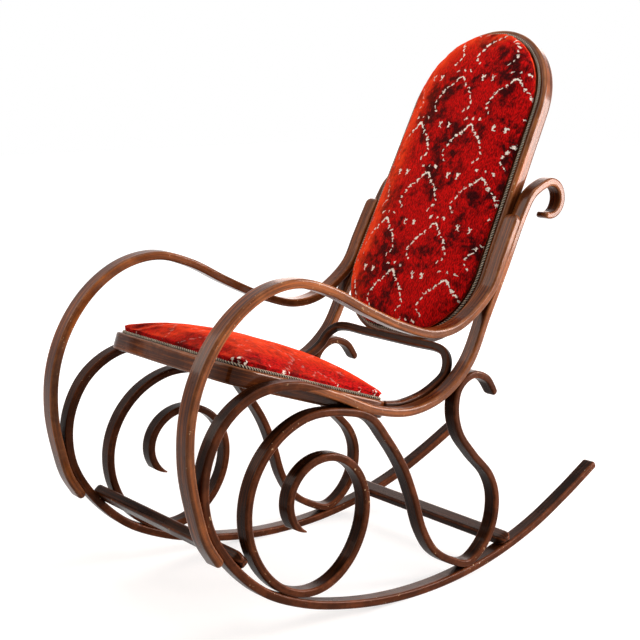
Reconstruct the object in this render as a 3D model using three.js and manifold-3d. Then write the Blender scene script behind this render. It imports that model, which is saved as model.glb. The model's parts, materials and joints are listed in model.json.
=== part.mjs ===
// Bentwood rocking chair: two side frames with scrolls and arms, a padded back in a bent hoop,
// a padded seat on a bent ring, a U-shaped brace and two flat stretchers.
// Millimetres, +Z up. The sitter faces -Y, and the left side is at +X.
import * as THREE from 'three';
import { mergeVertices } from 'three/addons/utils/BufferGeometryUtils.js';
import Module from 'manifold-3d';

const wasm = await Module();
wasm.setup();
const { degToRad, clamp } = THREE.MathUtils;

// Side frames: each lies in its own plane, which leans in to the top and toes in to the rear
const REACH = 1087; // from the front of the arms to the tail of the rockers
const INNER_HALF = 207.7; // from the middle to a frame's inner face, at floor level half way back
const TOE_IN = degToRad(1.28);
const LEAN = degToRad(0.985);
const ROD_WIDTH = 30.4;
const ROD_THICK = 16.4;
const ROD_ROUND = 4;
const ARM_WIDTH = 34;
const ARM_THICK = 17;
const SCROLL_THICK = 15;
const ROCKER_RADIUS = 922;
const SCARF_LENGTH = 64;
const FLAT_DEPTH = 1.2; // worn flat under each rocker, where the chair rests

// Back: a hoop in a plane of its own, with its foot at the given height
const BACK_ANGLE = degToRad(63.6); // from the floor
const BACK_Y = 203;
const BACK_Z = 600;
const HOOP_BELOW = 158; // from the plane's origin down to the hoop's foot
const HOOP_ABOVE = 538;
const HOOP_FOOT_RADIUS = 153;
const HOOP_WALL = 25;
const HOOP_DEPTH = 30;
const HOOP_ROUND = 8;
const BACK_CROWN = 36;

// Seat: a ring whose top slopes down to the rear
const SEAT_SLOPE = degToRad(19);
const SEAT_REAR_Y = -46;
const SEAT_REAR_Z = 384;
const SEAT_DEPTH = 398;
const SEAT_BOW = 9;
const SEAT_FRONT_RADIUS = 52;
const SEAT_REAR_RADIUS = 34;
const RING_WALL = 30;
const RING_HEIGHT = 33;
const RING_ROUND = 4;
const SEAT_CROWN = 52;

// Upholstery
const TRIM_INSET = 9.5; // from the hoop's or ring's outer face to the braid
const TRIM_WIDTH = 6;
const TRIM_THICK = 2.4;
const PANEL_THICK = 5;
const SEAM_RISE = 7; // height at which a cushion's side is widest
const SEAM_DRAW = 3; // how far the side is drawn in at its foot

// Brace and stretchers
const BRACE_THICK = 17;
const BRACE_ROUND = 4;
const BRACE_RISE = 7; // how far its legs stand in front of the middle of the frame's rod
const BRACE_BEND = 46;
const FRONT_BAR_WIDTH = 32;
const FRONT_BAR_THICK = 21;
const REAR_BAR_WIDTH = 34;
const REAR_BAR_THICK = 18;
const BAR_ROUND = 5;
const BAR_NOSE = 9; // length of a bar's rounded end
const BAR_TAPER = 6; // how far the end face is drawn in

// Fits and fineness
const CLEARANCE = 0.3;
const OVERRUN = 8; // how far a cutting block runs past what it cuts
const SPRING = 0.4; // how far a seated piece is pressed in before its neighbour is cut out of it
const SAMPLES = 12; // dense places for each point of a line
const TURN_LENGTH = 80; // length that one radian of bending counts for when steps are shared out
const STEP = 40;
const CURVE_STEPS = 7;
const SAG_ROUNDS = 8;
const WELD_SHARE = 0.001; // corners closer than this share of the clearance are one corner

// Colours
const WOOD = { color: 0x4b2413, roughness: 0.38, metalness: 0 };
const VELVET = { color: 0x8e0c0e, roughness: 0.95, metalness: 0 };
const BRAID = { color: 0x8f8068, roughness: 0.8, metalness: 0 };
const LINING = { color: 0x2b2320, roughness: 0.95, metalness: 0 };

// Places in a side plane, as shares of the reach: how far back, then how high
const HOOK_CENTRE_SHARES = [0.3405, 0.6835];
const HOOK_RADIUS_SHARE = 0.0315;
const HOOK_ANGLES = { tip: degToRad(-121), neck: degToRad(112), step: degToRad(29.1) };
const UPRIGHT_SHARES = [[0.291, 0.694], [0.266, 0.66], [0.219, 0.572], [0.171, 0.485], [0.126, 0.404]];
const RAIL_SHARES = [[0.0635, 0.357], [-0.0165, 0.34], [-0.102, 0.356], [-0.193, 0.3965], [-0.279, 0.427]];
const LOOP_SHARES = [[-0.359, 0.424], [-0.421, 0.3855], [-0.456, 0.317], [-0.4545, 0.239], [-0.417, 0.168]];
const ROCKER_SHARES = [-0.3495, -0.2685, -0.1775, -0.08, 0.019, 0.118, 0.216, 0.312, 0.405];
const ROCKER_REST_SHARE = 0.022;
const ROCKER_ENDS_SHARES = { toe: 0.0075, tail: [0.493, 0.1435] };
const FRAME_SPLICE_SHARES = [-0.236, 0.412];

const SPIRAL_CENTRE_SHARES = [-0.2331, 0.2125];
const SPIRAL_SHARES = { start: 0.0421, growth: 0.01793, easing: 0.000506 };
const SPIRAL_ANGLES = { start: degToRad(-131), sweep: degToRad(496), step: degToRad(15.5) };
const SCROLL_CREST_SHARES = [[-0.178, 0.3665]];
const SCROLL_FALL_SHARES = [[-0.0775, 0.302], [-0.0385, 0.244], [-0.013, 0.185], [0.009, 0.1195]];
const SCROLL_FOOT_SHARES = [[0.0385, 0.0735], [0.0835, 0.043], [0.1685, 0.0515], [0.194, 0.091]];
const SCROLL_LIMB_SHARES = [[0.1995, 0.141], [0.183, 0.184], [0.138, 0.232], [0.102, 0.278], [0.0905, 0.3225]];
const SCROLL_TIP_SHARES = [[0.132, 0.3805], [0.17, 0.3695], [0.197, 0.334]];
const SCROLL_SEAT_SHARES = { rail: [-0.112, 0.345], rocker: [0.1305, 0.035], upright: [0.101, 0.3615] };
const SCROLL_SPLICE_SHARES = [-0.0565, 0.273];

const ARM_HEEL_SHARES = [[-0.437, 0.168], [-0.46, 0.21], [-0.471, 0.249]];
const ARM_FRONT_SHARES = [[-0.4865, 0.329], [-0.481, 0.4085], [-0.4535, 0.48], [-0.4055, 0.54]];
const ARM_TOP_SHARES = [[-0.342, 0.5795], [-0.273, 0.5905], [-0.2025, 0.5705], [-0.1225, 0.529]];
const ARM_REST_SHARES = [[-0.0395, 0.491], [0.0368, 0.469], [0.1012, 0.4775]];
const ARM_SEAT_SHARES = [[0.172, 0.535], [0.208, 0.584], [0.228, 0.62], [0.2475, 0.659]];

const FRONT_BAR_SHARES = [-0.3895, 0.163];
const REAR_BAR_SHARES = [0.2235, 0.053];
const BRACE_LEG_SHARES = [[-0.058, 0.352], [-0.02, 0.35], [0.03, 0.356], [0.062, 0.372], [0.086, 0.392]];

// Cushion rings, as shares of the way from the edge to the middle, and the powers of their crown
const CROWN_RING_SHARES = [0.04, 0.11, 0.21, 0.34, 0.5, 0.7, 0.88];
const DOME_POWER = 2;
const FULLNESS = 0.5;
const EDGE_POWER = 6;
const SPINE_SHARE = 0.5; // half width of a seat crown's spine, as a share of the front corner's radius
const BRACE_BEND_SHARES = [0.5, 0.87];

// A place in a side plane from its shares of the reach
function placeAt([back, up]) {
  return new THREE.Vector3(0, back * REACH, up * REACH);
}

// Dense places along a smooth curve through the given points
function curveThrough(points) {
  const curve = new THREE.CatmullRomCurve3(points, false, 'centripetal');
  return curve.getPoints(points.length * SAMPLES);
}

// Index of the place of a line that lies nearest to a point
function nearestIndex(line, point) {
  let best = 1;
  for (let i = 1; i < line.length - 1; i += 1) {
    if (line[i].distanceToSquared(point) < line[best].distanceToSquared(point)) best = i;
  }
  return best;
}

// Direction of a line at one of its places
function directionAt(line, index) {
  return line[index + 1].clone().sub(line[index - 1]).normalize();
}

// Unit vector square to a side-plane line, on the side where the given point lies
function squareTo(line, index, point) {
  const along = directionAt(line, index);
  const across = new THREE.Vector3(0, -along.z, along.y);
  return across.dot(point.clone().sub(line[index])) < 0 ? across.negate() : across;
}

// The place beside a line, at the given distance from it, on the side of a roughly given place
function seatedBeside(line, shares, distance) {
  const rough = placeAt(shares);
  const index = nearestIndex(line, rough);
  return line[index].clone().addScaledVector(squareTo(line, index, rough), distance);
}

// Distance at which two rods of the given thicknesses rest on each other
function seatDistance(thick, otherThick) {
  return (thick + otherThick) / 2 + CLEARANCE - SPRING;
}

// A rod's centre line, which takes more steps where it bends tightly
class BentPath extends THREE.Curve {
  constructor(places) {
    super();
    this.places = places;
    this.marks = [0];
    for (let i = 1; i < places.length; i += 1) {
      const step = places[i].clone().sub(places[i - 1]);
      const before = i > 1 ? places[i - 1].clone().sub(places[i - 2]) : step;
      this.marks.push(this.marks[i - 1] + step.length() + TURN_LENGTH * step.angleTo(before));
    }
  }

  get steps() {
    return Math.ceil(this.marks[this.marks.length - 1] / STEP);
  }

  getPoint(t) {
    const mark = clamp(t, 0, 1) * this.marks[this.marks.length - 1];
    const found = this.marks.findIndex((value) => value >= mark);
    const index = Math.max(found, 1);
    const share = (mark - this.marks[index - 1]) / (this.marks[index] - this.marks[index - 1]);
    return this.places[index - 1].clone().lerp(this.places[index], share);
  }

  getPointAt(t) {
    return this.getPoint(t);
  }

  getTangentAt(t) {
    const reach = 1 / (4 * this.steps);
    return this.getPoint(t + reach).sub(this.getPoint(t - reach)).normalize();
  }
}

// Rectangle with cut corners, the section of a rod
function rodSection(width, thick, round) {
  const x = width / 2;
  const y = thick / 2;
  return new THREE.Shape([
    new THREE.Vector2(x - round, -y),
    new THREE.Vector2(x, round - y),
    new THREE.Vector2(x, y - round),
    new THREE.Vector2(x - round, y),
    new THREE.Vector2(round - x, y),
    new THREE.Vector2(-x, y - round),
    new THREE.Vector2(-x, round - y),
    new THREE.Vector2(round - x, -y),
  ]);
}

// A rod bent along a line
function rodAlong(places, width, thick, round = ROD_ROUND) {
  const path = new BentPath(places);
  return new THREE.ExtrudeGeometry(rodSection(width, thick, round), {
    steps: path.steps,
    extrudePath: path,
  });
}

// The frame's rods made larger by the clearance, to cut their seats out of a neighbour
function frameCutters(frame, width, matrix) {
  const grow = 2 * CLEARANCE;
  return [frame.before, frame.after].map((run) => {
    return solidOf(rodAlong(run, width + grow, ROD_THICK + grow), matrix);
  });
}

// A closed geometry as a solid that takes booleans
function solidOf(geometry, matrix = new THREE.Matrix4()) {
  const bare = geometry.clone().applyMatrix4(matrix);
  bare.deleteAttribute('normal');
  bare.deleteAttribute('uv');
  const merged = mergeVertices(bare, WELD_SHARE * CLEARANCE);
  const vertProperties = new Float32Array(merged.attributes.position.array);
  const triVerts = new Uint32Array(merged.index.array);
  return new wasm.Manifold(new wasm.Mesh({ numProp: 3, vertProperties, triVerts }));
}

// A solid as a geometry with flat faces
function geometryOf(solid) {
  const mesh = solid.getMesh();
  const geometry = new THREE.BufferGeometry();
  geometry.setAttribute('position', new THREE.BufferAttribute(mesh.vertProperties, mesh.numProp));
  geometry.setIndex(new THREE.BufferAttribute(mesh.triVerts, 1));
  geometry.computeVertexNormals();
  return geometry;
}

// A geometry with cutters taken out of it, each given in the geometry's own place
function carve(geometry, cutters) {
  const solid = cutters.reduce((rest, cutter) => rest.subtract(cutter), solidOf(geometry));
  return geometryOf(solid);
}

// Two runs of a line that overlap at a splice, and the blocks that cut its oblique faces
function scarfed(line, shares, width, thick) {
  const splice = nearestIndex(line, placeAt(shares));
  const centre = line[splice];
  const lap = SCARF_LENGTH / 2 + OVERRUN;
  let first = splice;
  let last = splice;
  while (line[first].distanceTo(centre) < lap) first -= 1;
  while (line[last].distanceTo(centre) < lap) last += 1;
  const tilt = Math.atan2(thick, SCARF_LENGTH);
  const along = directionAt(line, splice).applyAxisAngle(new THREE.Vector3(1, 0, 0), tilt);
  const across = new THREE.Vector3(1, 0, 0).cross(along);
  const deep = 2 * thick + OVERRUN;
  const block = new THREE.BoxGeometry(width + OVERRUN, 2 * lap + 4 * OVERRUN, deep);
  const place = (side) => {
    const middle = centre.clone().addScaledVector(across, (side * (deep - CLEARANCE)) / 2);
    const turn = new THREE.Matrix4().makeBasis(new THREE.Vector3(1, 0, 0), along, across);
    return solidOf(block, turn.setPosition(middle));
  };
  return {
    line,
    before: line.slice(0, last + 1),
    after: line.slice(first),
    beforeBlock: place(-1),
    afterBlock: place(1),
  };
}

// Height of the middle of the rocker's rod: an arc of the rocker's radius
function rockerHeight(back) {
  const run = back - ROCKER_REST_SHARE * REACH;
  return ROD_THICK / 2 + ROCKER_RADIUS - Math.sqrt(ROCKER_RADIUS ** 2 - run ** 2);
}

// Hook, upright, seat rail, front loop and rocker: one line from the hook's tip to the tail
function frameLine() {
  const points = [];
  const hook = placeAt(HOOK_CENTRE_SHARES);
  for (let angle = HOOK_ANGLES.tip; angle < HOOK_ANGLES.neck; angle += HOOK_ANGLES.step) {
    const spoke = new THREE.Vector3(0, Math.cos(angle), Math.sin(angle));
    points.push(hook.clone().addScaledVector(spoke, HOOK_RADIUS_SHARE * REACH));
  }
  points.push(...[...UPRIGHT_SHARES, ...RAIL_SHARES, ...LOOP_SHARES].map(placeAt));
  ROCKER_SHARES.forEach((share, i) => {
    const lift = i === 0 ? ROCKER_ENDS_SHARES.toe * REACH : 0;
    points.push(new THREE.Vector3(0, share * REACH, rockerHeight(share * REACH) + lift));
  });
  points.push(placeAt(ROCKER_ENDS_SHARES.tail));
  return curveThrough(points);
}

// Points of the spiral, whose lower half is drawn down by the given sag to meet the rocker
function spiralPoints(sag) {
  const centre = placeAt(SPIRAL_CENTRE_SHARES);
  const points = [];
  for (let turned = 0; turned <= SPIRAL_ANGLES.sweep; turned += SPIRAL_ANGLES.step) {
    const { start, growth, easing } = SPIRAL_SHARES;
    const radius = (start + growth * turned - easing * turned ** 2) * REACH;
    const angle = SPIRAL_ANGLES.start - turned;
    const spoke = new THREE.Vector3(0, Math.cos(angle), Math.sin(angle));
    const point = centre.clone().addScaledVector(spoke, radius);
    point.z -= sag * Math.min(spoke.z, 0) ** 2;
    points.push(point);
  }
  return points;
}

// Least distance between two lines
function leastDistance(line, other) {
  return Math.min(...line.map((place) => place.distanceTo(other[nearestIndex(other, place)])));
}

// The sag with which the spiral just rests on the frame's line
function spiralSag(frame, distance) {
  let sag = 0;
  for (let round = 0; round < SAG_ROUNDS; round += 1) {
    sag += leastDistance(curveThrough(spiralPoints(sag)), frame) - distance;
  }
  return sag;
}

// The scroll: spiral, crest under the rail, foot on the rocker and limb behind the upright
function scrollLine(frame) {
  const distance = seatDistance(SCROLL_THICK, ROD_THICK);
  const seat = (shares) => seatedBeside(frame, shares, distance);
  return curveThrough([
    ...spiralPoints(spiralSag(frame, distance)),
    ...SCROLL_CREST_SHARES.map(placeAt),
    seat(SCROLL_SEAT_SHARES.rail),
    ...SCROLL_FALL_SHARES.map(placeAt),
    ...SCROLL_FOOT_SHARES.slice(0, 2).map(placeAt),
    seat(SCROLL_SEAT_SHARES.rocker),
    ...SCROLL_FOOT_SHARES.slice(2).map(placeAt),
    ...SCROLL_LIMB_SHARES.map(placeAt),
    seat(SCROLL_SEAT_SHARES.upright),
    ...SCROLL_TIP_SHARES.map(placeAt),
  ]);
}

// The arm: heel on the front of the loop, sweep up and over, end on the front of the upright
function armLine(frame) {
  const seat = (shares) => seatedBeside(frame, shares, seatDistance(ARM_THICK, ROD_THICK));
  return curveThrough([
    ...ARM_HEEL_SHARES.map(seat),
    ...[...ARM_FRONT_SHARES, ...ARM_TOP_SHARES, ...ARM_REST_SHARES].map(placeAt),
    ...ARM_SEAT_SHARES.map(seat),
  ]);
}

// A group whose plane holds one side's rods
function sideGroup(side) {
  const group = new THREE.Group();
  group.position.x = side * (INNER_HALF + ROD_WIDTH / 2);
  group.rotation.set(0, -side * LEAN, side * TOE_IN, 'ZYX');
  group.updateMatrix();
  return group;
}

// Half of the room between the two frames' inner faces, at a place back and up
function innerHalfAt(back, up) {
  const face = new THREE.Vector3(1, 0, 0).applyEuler(sideGroup(1).rotation);
  return INNER_HALF + ROD_WIDTH / 2 - (ROD_WIDTH / 2 + face.y * back + face.z * up) / face.x;
}

function pieceOf(name, geometry, look) {
  const mesh = new THREE.Mesh(geometry, new THREE.MeshStandardMaterial(look));
  mesh.name = name;
  return mesh;
}

// Level of the lowest edge of a rod on one side
function lowestOf(geometry, matrix) {
  const placed = geometry.clone().applyMatrix4(matrix);
  placed.computeBoundingBox();
  return placed.boundingBox.min.z;
}

// One side's five bent rods, seated on each other
function sidePieces(side, frame, scroll, arm) {
  const group = sideGroup(side);
  const label = side > 0 ? 'left' : 'right';
  const seats = frameCutters(frame, ROD_WIDTH);
  const rocker = rodAlong(frame.after, ROD_WIDTH, ROD_THICK);
  const floor = lowestOf(rocker, group.matrix) + FLAT_DEPTH;
  const floorBlock = new THREE.BoxGeometry(REACH, REACH, REACH).translate(0, 0, floor - REACH / 2);
  const floorCutter = solidOf(floorBlock, group.matrix.clone().invert());
  const rods = {
    upright: carve(rodAlong(frame.before, ROD_WIDTH, ROD_THICK), [frame.beforeBlock]),
    rocker: carve(rocker, [frame.afterBlock, floorCutter]),
    scroll_spiral: carve(rodAlong(scroll.before, ROD_WIDTH, SCROLL_THICK), [scroll.beforeBlock, ...seats]),
    scroll_loop: carve(rodAlong(scroll.after, ROD_WIDTH, SCROLL_THICK), [scroll.afterBlock, ...seats]),
    arm: carve(rodAlong(arm, ARM_WIDTH, ARM_THICK), frameCutters(frame, 2 * ARM_WIDTH)),
  };
  for (const [name, geometry] of Object.entries(rods)) {
    group.add(pieceOf(`${label}_${name}`, geometry, WOOD));
  }
  const flush = (ARM_WIDTH - ROD_WIDTH) / 2; // the wider arm keeps its inner face in line with the frame's
  group.getObjectByName(`${label}_arm`).position.x = side * flush;
  return { group, floor };
}

// A flat bar across the chair, lying on both rockers, with rounded ends
function stretcher(name, frame, shares, width, thick) {
  const rough = placeAt(shares);
  const index = nearestIndex(frame.line, rough);
  const along = directionAt(frame.line, index);
  const across = squareTo(frame.line, index, rough);
  const middle = seatedBeside(frame.line, shares, seatDistance(thick, ROD_THICK));
  const half = innerHalfAt(middle.y, middle.z) + ROD_WIDTH - BAR_NOSE;
  const bar = new THREE.ExtrudeGeometry(rodSection(width, thick, BAR_ROUND), {
    depth: 2 * half,
    bevelThickness: BAR_NOSE,
    bevelSize: BAR_TAPER,
    bevelOffset: -BAR_TAPER,
    bevelSegments: 3,
  }).translate(0, 0, -half);
  const mesh = pieceOf(name, bar, WOOD);
  const basis = new THREE.Matrix4().makeBasis(along, across, new THREE.Vector3(1, 0, 0));
  mesh.quaternion.setFromRotationMatrix(basis);
  mesh.position.copy(middle);
  mesh.updateMatrix();
  mesh.geometry = carve(bar, bothSideCutters(frame, mesh.matrix));
  return mesh;
}

// The cutters of both side frames, as a piece with the given place meets them
function bothSideCutters(frame, matrix) {
  const inverse = matrix.clone().invert();
  return [-1, 1].flatMap((side) => {
    return frameCutters(frame, ROD_WIDTH, inverse.clone().multiply(sideGroup(side).matrix));
  });
}

// A corner of an outline moved in from both of its edges
function insetCorners(corners, inset) {
  return corners.map((corner, i) => {
    const before = corners[(i + corners.length - 1) % corners.length].point;
    const after = corners[(i + 1) % corners.length].point;
    const come = corner.point.clone().sub(before).normalize();
    const leave = after.clone().sub(corner.point).normalize();
    const inward = new THREE.Vector2(-come.y - leave.y, come.x + leave.x);
    const point = corner.point.clone().addScaledVector(inward, inset / (1 + come.dot(leave)));
    return { point, radius: Math.max(corner.radius - inset, 0) };
  });
}

// Closed outline, run anticlockwise, whose corners are rounded with arcs
function roundedOutline(corners, Kind = THREE.Shape) {
  const outline = new Kind();
  corners.forEach((corner, i) => {
    const before = corners[(i + corners.length - 1) % corners.length].point;
    const after = corners[(i + 1) % corners.length].point;
    const come = corner.point.clone().sub(before).normalize();
    const leave = after.clone().sub(corner.point).normalize();
    const turn = Math.acos(clamp(come.dot(leave), -1, 1));
    const setback = corner.radius * Math.tan(turn / 2);
    const entry = corner.point.clone().addScaledVector(come, -setback);
    const centre = entry.clone().add(new THREE.Vector2(-come.y, come.x).multiplyScalar(corner.radius));
    const from = Math.atan2(entry.y - centre.y, entry.x - centre.x);
    outline.absarc(centre.x, centre.y, corner.radius, from, from + turn, false);
  });
  outline.closePath();
  return outline;
}

// A ring between two insets of an outline
function ringGeometry(corners, outer, inner, depth, round) {
  const shape = roundedOutline(insetCorners(corners, outer + round));
  shape.holes.push(roundedOutline(insetCorners(corners, inner - round), THREE.Path));
  return new THREE.ExtrudeGeometry(shape, {
    depth: depth - 2 * round,
    curveSegments: CURVE_STEPS,
    bevelEnabled: round > 0,
    bevelThickness: round,
    bevelSize: round,
    bevelSegments: 2,
  }).translate(0, 0, round);
}

// A flat board that fills an outline
function boardGeometry(corners, inset, depth) {
  return new THREE.ExtrudeGeometry(roundedOutline(insetCorners(corners, inset)), {
    depth,
    curveSegments: CURVE_STEPS,
    bevelEnabled: false,
  });
}

// A stuffed cushion: flat foot, sides drawn in to it, and a crown that rises to a short spine
function cushionGeometry(corners, inset, crown, spine) {
  const edge = roundedOutline(insetCorners(corners, inset)).getPoints(CURVE_STEPS);
  if (edge[0].distanceTo(edge[edge.length - 1]) < CLEARANCE) edge.pop();
  const foot = roundedOutline(insetCorners(corners, inset + SEAM_DRAW)).getPoints(CURVE_STEPS);
  const middle = new THREE.Box2().setFromPoints(edge).getCenter(new THREE.Vector2());
  const half = new THREE.Box2().setFromPoints(edge).getSize(new THREE.Vector2()).multiplyScalar(1 / 2);
  const rise = (point, share) => {
    const out = point.clone().sub(middle).divide(half);
    const along = 1 - Math.abs(out.y) ** ((DOME_POWER * half.y) / half.x);
    const dome = (1 - Math.abs(out.x) ** DOME_POWER) * along;
    const filled = Math.max(dome, 0) ** FULLNESS * (1 - (1 - share) ** EDGE_POWER);
    return SEAM_RISE + (crown - SEAM_RISE) * filled;
  };
  const rings = [edge.map((point, i) => new THREE.Vector3(foot[i].x, foot[i].y, 0))];
  for (const share of [0, ...CROWN_RING_SHARES]) {
    rings.push(edge.map((point) => {
      const inner = point.clone().lerp(point.clone().clamp(spine.min, spine.max), share);
      return new THREE.Vector3(inner.x, inner.y, rise(inner, share));
    }));
  }
  return loftGeometry(rings);
}

// A closed skin over a stack of rings, with a flat face on the first and on the last
function loftGeometry(rings) {
  const count = rings[0].length;
  const index = [];
  for (let ring = 0; ring < rings.length - 1; ring += 1) {
    for (let i = 0; i < count; i += 1) {
      const low = ring * count + i;
      const next = ring * count + ((i + 1) % count);
      index.push(low, next, next + count, low, next + count, low + count);
    }
  }
  const flat = rings.map((ring) => ring.map((point) => new THREE.Vector2(point.x, point.y)));
  const top = (rings.length - 1) * count;
  for (const [a, b, c] of THREE.ShapeUtils.triangulateShape(flat[0], [])) index.push(c, b, a);
  for (const [a, b, c] of THREE.ShapeUtils.triangulateShape(flat[rings.length - 1], [])) {
    index.push(top + a, top + b, top + c);
  }
  const geometry = new THREE.BufferGeometry().setFromPoints(rings.flat());
  geometry.setIndex(index);
  geometry.computeVertexNormals();
  return geometry;
}

// A group turned so that its XY plane is the given plane's face
function planeGroup(back, up, turn) {
  const group = new THREE.Group();
  group.position.set(0, back, up);
  group.rotation.x = turn;
  group.updateMatrix();
  return group;
}

// Corners of an outline that is as wide as the room between the frames, less the clearance
function fittedCorners(group, stations) {
  const right = stations.map(({ at, radius, bow = 0 }) => {
    const place = new THREE.Vector3(0, at, 0).applyMatrix4(group.matrix);
    const half = innerHalfAt(place.y, place.z) - CLEARANCE;
    return { point: new THREE.Vector2(half, at + bow), radius };
  });
  const left = right.map(({ point, radius }) => ({ point: new THREE.Vector2(-point.x, point.y), radius }));
  return [...right, ...left.reverse()];
}

// Back: hoop, board, cushion and braid
function backPieces() {
  const group = planeGroup(BACK_Y, BACK_Z, BACK_ANGLE);
  const rough = fittedCorners(group, [
    { at: -HOOP_BELOW, radius: HOOP_FOOT_RADIUS },
    { at: HOOP_ABOVE, radius: 0 },
  ]);
  const flare = Math.atan2(rough[0].point.x - rough[1].point.x, HOOP_ABOVE + HOOP_BELOW);
  const crownRadius = rough[1].point.x / Math.tan(Math.PI / 4 - flare / 2) - CLEARANCE;
  const corners = rough.map(({ point, radius }) => ({ point, radius: radius || crownRadius }));
  const boardInset = HOOP_WALL + CLEARANCE;
  const trimFoot = TRIM_INSET + TRIM_WIDTH;
  const half = rough[1].point.x;
  const spine = {
    min: new THREE.Vector2(0, half - HOOP_BELOW),
    max: new THREE.Vector2(0, HOOP_ABOVE - half),
  };
  const hoop = ringGeometry(corners, 0, HOOP_WALL, HOOP_DEPTH, HOOP_ROUND).translate(0, 0, -HOOP_DEPTH);
  const board = boardGeometry(corners, boardInset, PANEL_THICK);
  const braid = ringGeometry(corners, TRIM_INSET, trimFoot, TRIM_THICK, 0);
  const cushion = cushionGeometry(corners, trimFoot + CLEARANCE, BACK_CROWN, spine);
  group.add(pieceOf('back_hoop', hoop, WOOD));
  group.add(pieceOf('back_panel', board.translate(0, 0, -PANEL_THICK), WOOD));
  group.add(pieceOf('back_trim', braid.translate(0, 0, CLEARANCE), BRAID));
  group.add(pieceOf('back_cushion', cushion.translate(0, 0, CLEARANCE), VELVET));
  return group;
}

// Seat: ring, board, cushion and braid
function seatPieces() {
  const group = planeGroup(SEAT_REAR_Y, SEAT_REAR_Z, -SEAT_SLOPE);
  const sides = fittedCorners(group, [
    { at: -SEAT_DEPTH, radius: SEAT_FRONT_RADIUS, bow: SEAT_BOW },
    { at: 0, radius: SEAT_REAR_RADIUS },
  ]);
  const bowRadius = sides[0].point.x ** 2 / (4 * SEAT_BOW);
  const corners = [{ point: new THREE.Vector2(0, -SEAT_DEPTH), radius: bowRadius }, ...sides];
  const trimFoot = TRIM_INSET + TRIM_WIDTH;
  const middle = new THREE.Vector2(0, -SEAT_DEPTH / 2);
  const spread = new THREE.Vector2(SPINE_SHARE * SEAT_FRONT_RADIUS, 0);
  const spine = { min: middle.clone().sub(spread), max: middle.clone().add(spread) };
  const ring = ringGeometry(corners, 0, RING_WALL, RING_HEIGHT, RING_ROUND).translate(0, 0, -RING_HEIGHT);
  const board = boardGeometry(corners, RING_WALL + CLEARANCE, PANEL_THICK);
  const braid = ringGeometry(corners, TRIM_INSET, trimFoot, TRIM_THICK, 0);
  const cushion = cushionGeometry(corners, trimFoot + CLEARANCE, SEAT_CROWN, spine);
  group.add(pieceOf('seat_ring', ring, WOOD));
  group.add(pieceOf('seat_panel', board.translate(0, 0, -PANEL_THICK), LINING));
  group.add(pieceOf('seat_trim', braid.translate(0, 0, CLEARANCE), BRAID));
  group.add(pieceOf('seat_cushion', cushion.translate(0, 0, CLEARANCE), VELVET));
  return group;
}

// A solid made larger by the clearance all round, by laying shifted copies over each other
function swollen(solid) {
  const shifts = [[1, 0, 0], [-1, 0, 0], [0, 1, 0], [0, -1, 0], [0, 0, 1], [0, 0, -1]];
  return shifts.reduce((whole, shift) => {
    const copy = solid.translate(shift.map((value) => value * CLEARANCE));
    return whole.add(copy);
  }, solid);
}

// The brace: a rod whose legs lie against the frames' inner faces and whose bar carries the back
function bracePiece(frame, back, seat) {
  const turn = new THREE.Vector3(0, -Math.SQRT1_2, Math.SQRT1_2);
  const corner = new THREE.Vector3(0, HOOP_ROUND - HOOP_BELOW, -HOOP_ROUND);
  const reach = HOOP_ROUND + BRACE_THICK / 2 + CLEARANCE - SPRING;
  const bar = corner.addScaledVector(turn, reach).applyMatrix4(back.matrix);
  const legs = BRACE_LEG_SHARES.map((shares) => {
    const place = seatedBeside(frame.line, shares, BRACE_RISE);
    place.x = innerHalfAt(place.y, place.z) - CLEARANCE - BRACE_THICK / 2;
    return place;
  });
  const top = legs[legs.length - 1];
  const bend = BRACE_BEND_SHARES.map((share) => new THREE.Vector3(
    top.x - BRACE_BEND * (1 - Math.sqrt(1 - share ** 2)),
    THREE.MathUtils.lerp(top.y, bar.y, share),
    THREE.MathUtils.lerp(top.z, bar.z, share),
  ));
  const run = new THREE.Vector3(top.x - BRACE_BEND, bar.y, bar.z);
  const half = [...legs, ...bend, run, run.clone().setX(run.x / 2)];
  const mirrored = half.map((place) => place.clone().setX(-place.x)).reverse();
  const places = curveThrough([...half, ...mirrored]);
  const ring = seat.getObjectByName('seat_ring');
  const hoop = back.getObjectByName('back_hoop');
  const rod = rodAlong(places, BRACE_THICK, BRACE_THICK, BRACE_ROUND);
  const cutters = [
    ...bothSideCutters(frame, new THREE.Matrix4()),
    swollen(solidOf(ring.geometry, seat.matrix)),
    swollen(solidOf(hoop.geometry, back.matrix)),
  ];
  return pieceOf('back_brace', carve(rod, cutters), WOOD);
}

function rockingChair() {
  const chair = new THREE.Group();
  const frame = scarfed(frameLine(), FRAME_SPLICE_SHARES, ROD_WIDTH, ROD_THICK);
  const scroll = scarfed(scrollLine(frame.line), SCROLL_SPLICE_SHARES, ROD_WIDTH, SCROLL_THICK);
  const arm = armLine(frame.line);
  const sides = [1, -1].map((side) => sidePieces(side, frame, scroll, arm));
  const back = backPieces();
  const seat = seatPieces();
  chair.add(...sides.map(({ group }) => group), back, seat, bracePiece(frame, back, seat));
  chair.add(stretcher('front_stretcher', frame, FRONT_BAR_SHARES, FRONT_BAR_WIDTH, FRONT_BAR_THICK));
  chair.add(stretcher('rear_stretcher', frame, REAR_BAR_SHARES, REAR_BAR_WIDTH, REAR_BAR_THICK));
  chair.position.z = -sides[0].floor;
  return chair;
}

export default rockingChair();
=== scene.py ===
"""A bentwood rocking chair with a stuffed velvet back and seat.

Every rod is planed straight, rounded along its edges and then bent along its centre line, so the
grain, the wear and the shape of its ends all belong to the straight wood, as on the real chair.
Lengths are in metres. Places in a side plane are shares of the chair's reach: how far back, how high.
Spots are places in metres on a cloth or in a plane.
"""

from __future__ import annotations

import json
import logging
import math
from bisect import bisect_right
from dataclasses import dataclass
from enum import Enum
from itertools import pairwise

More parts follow.
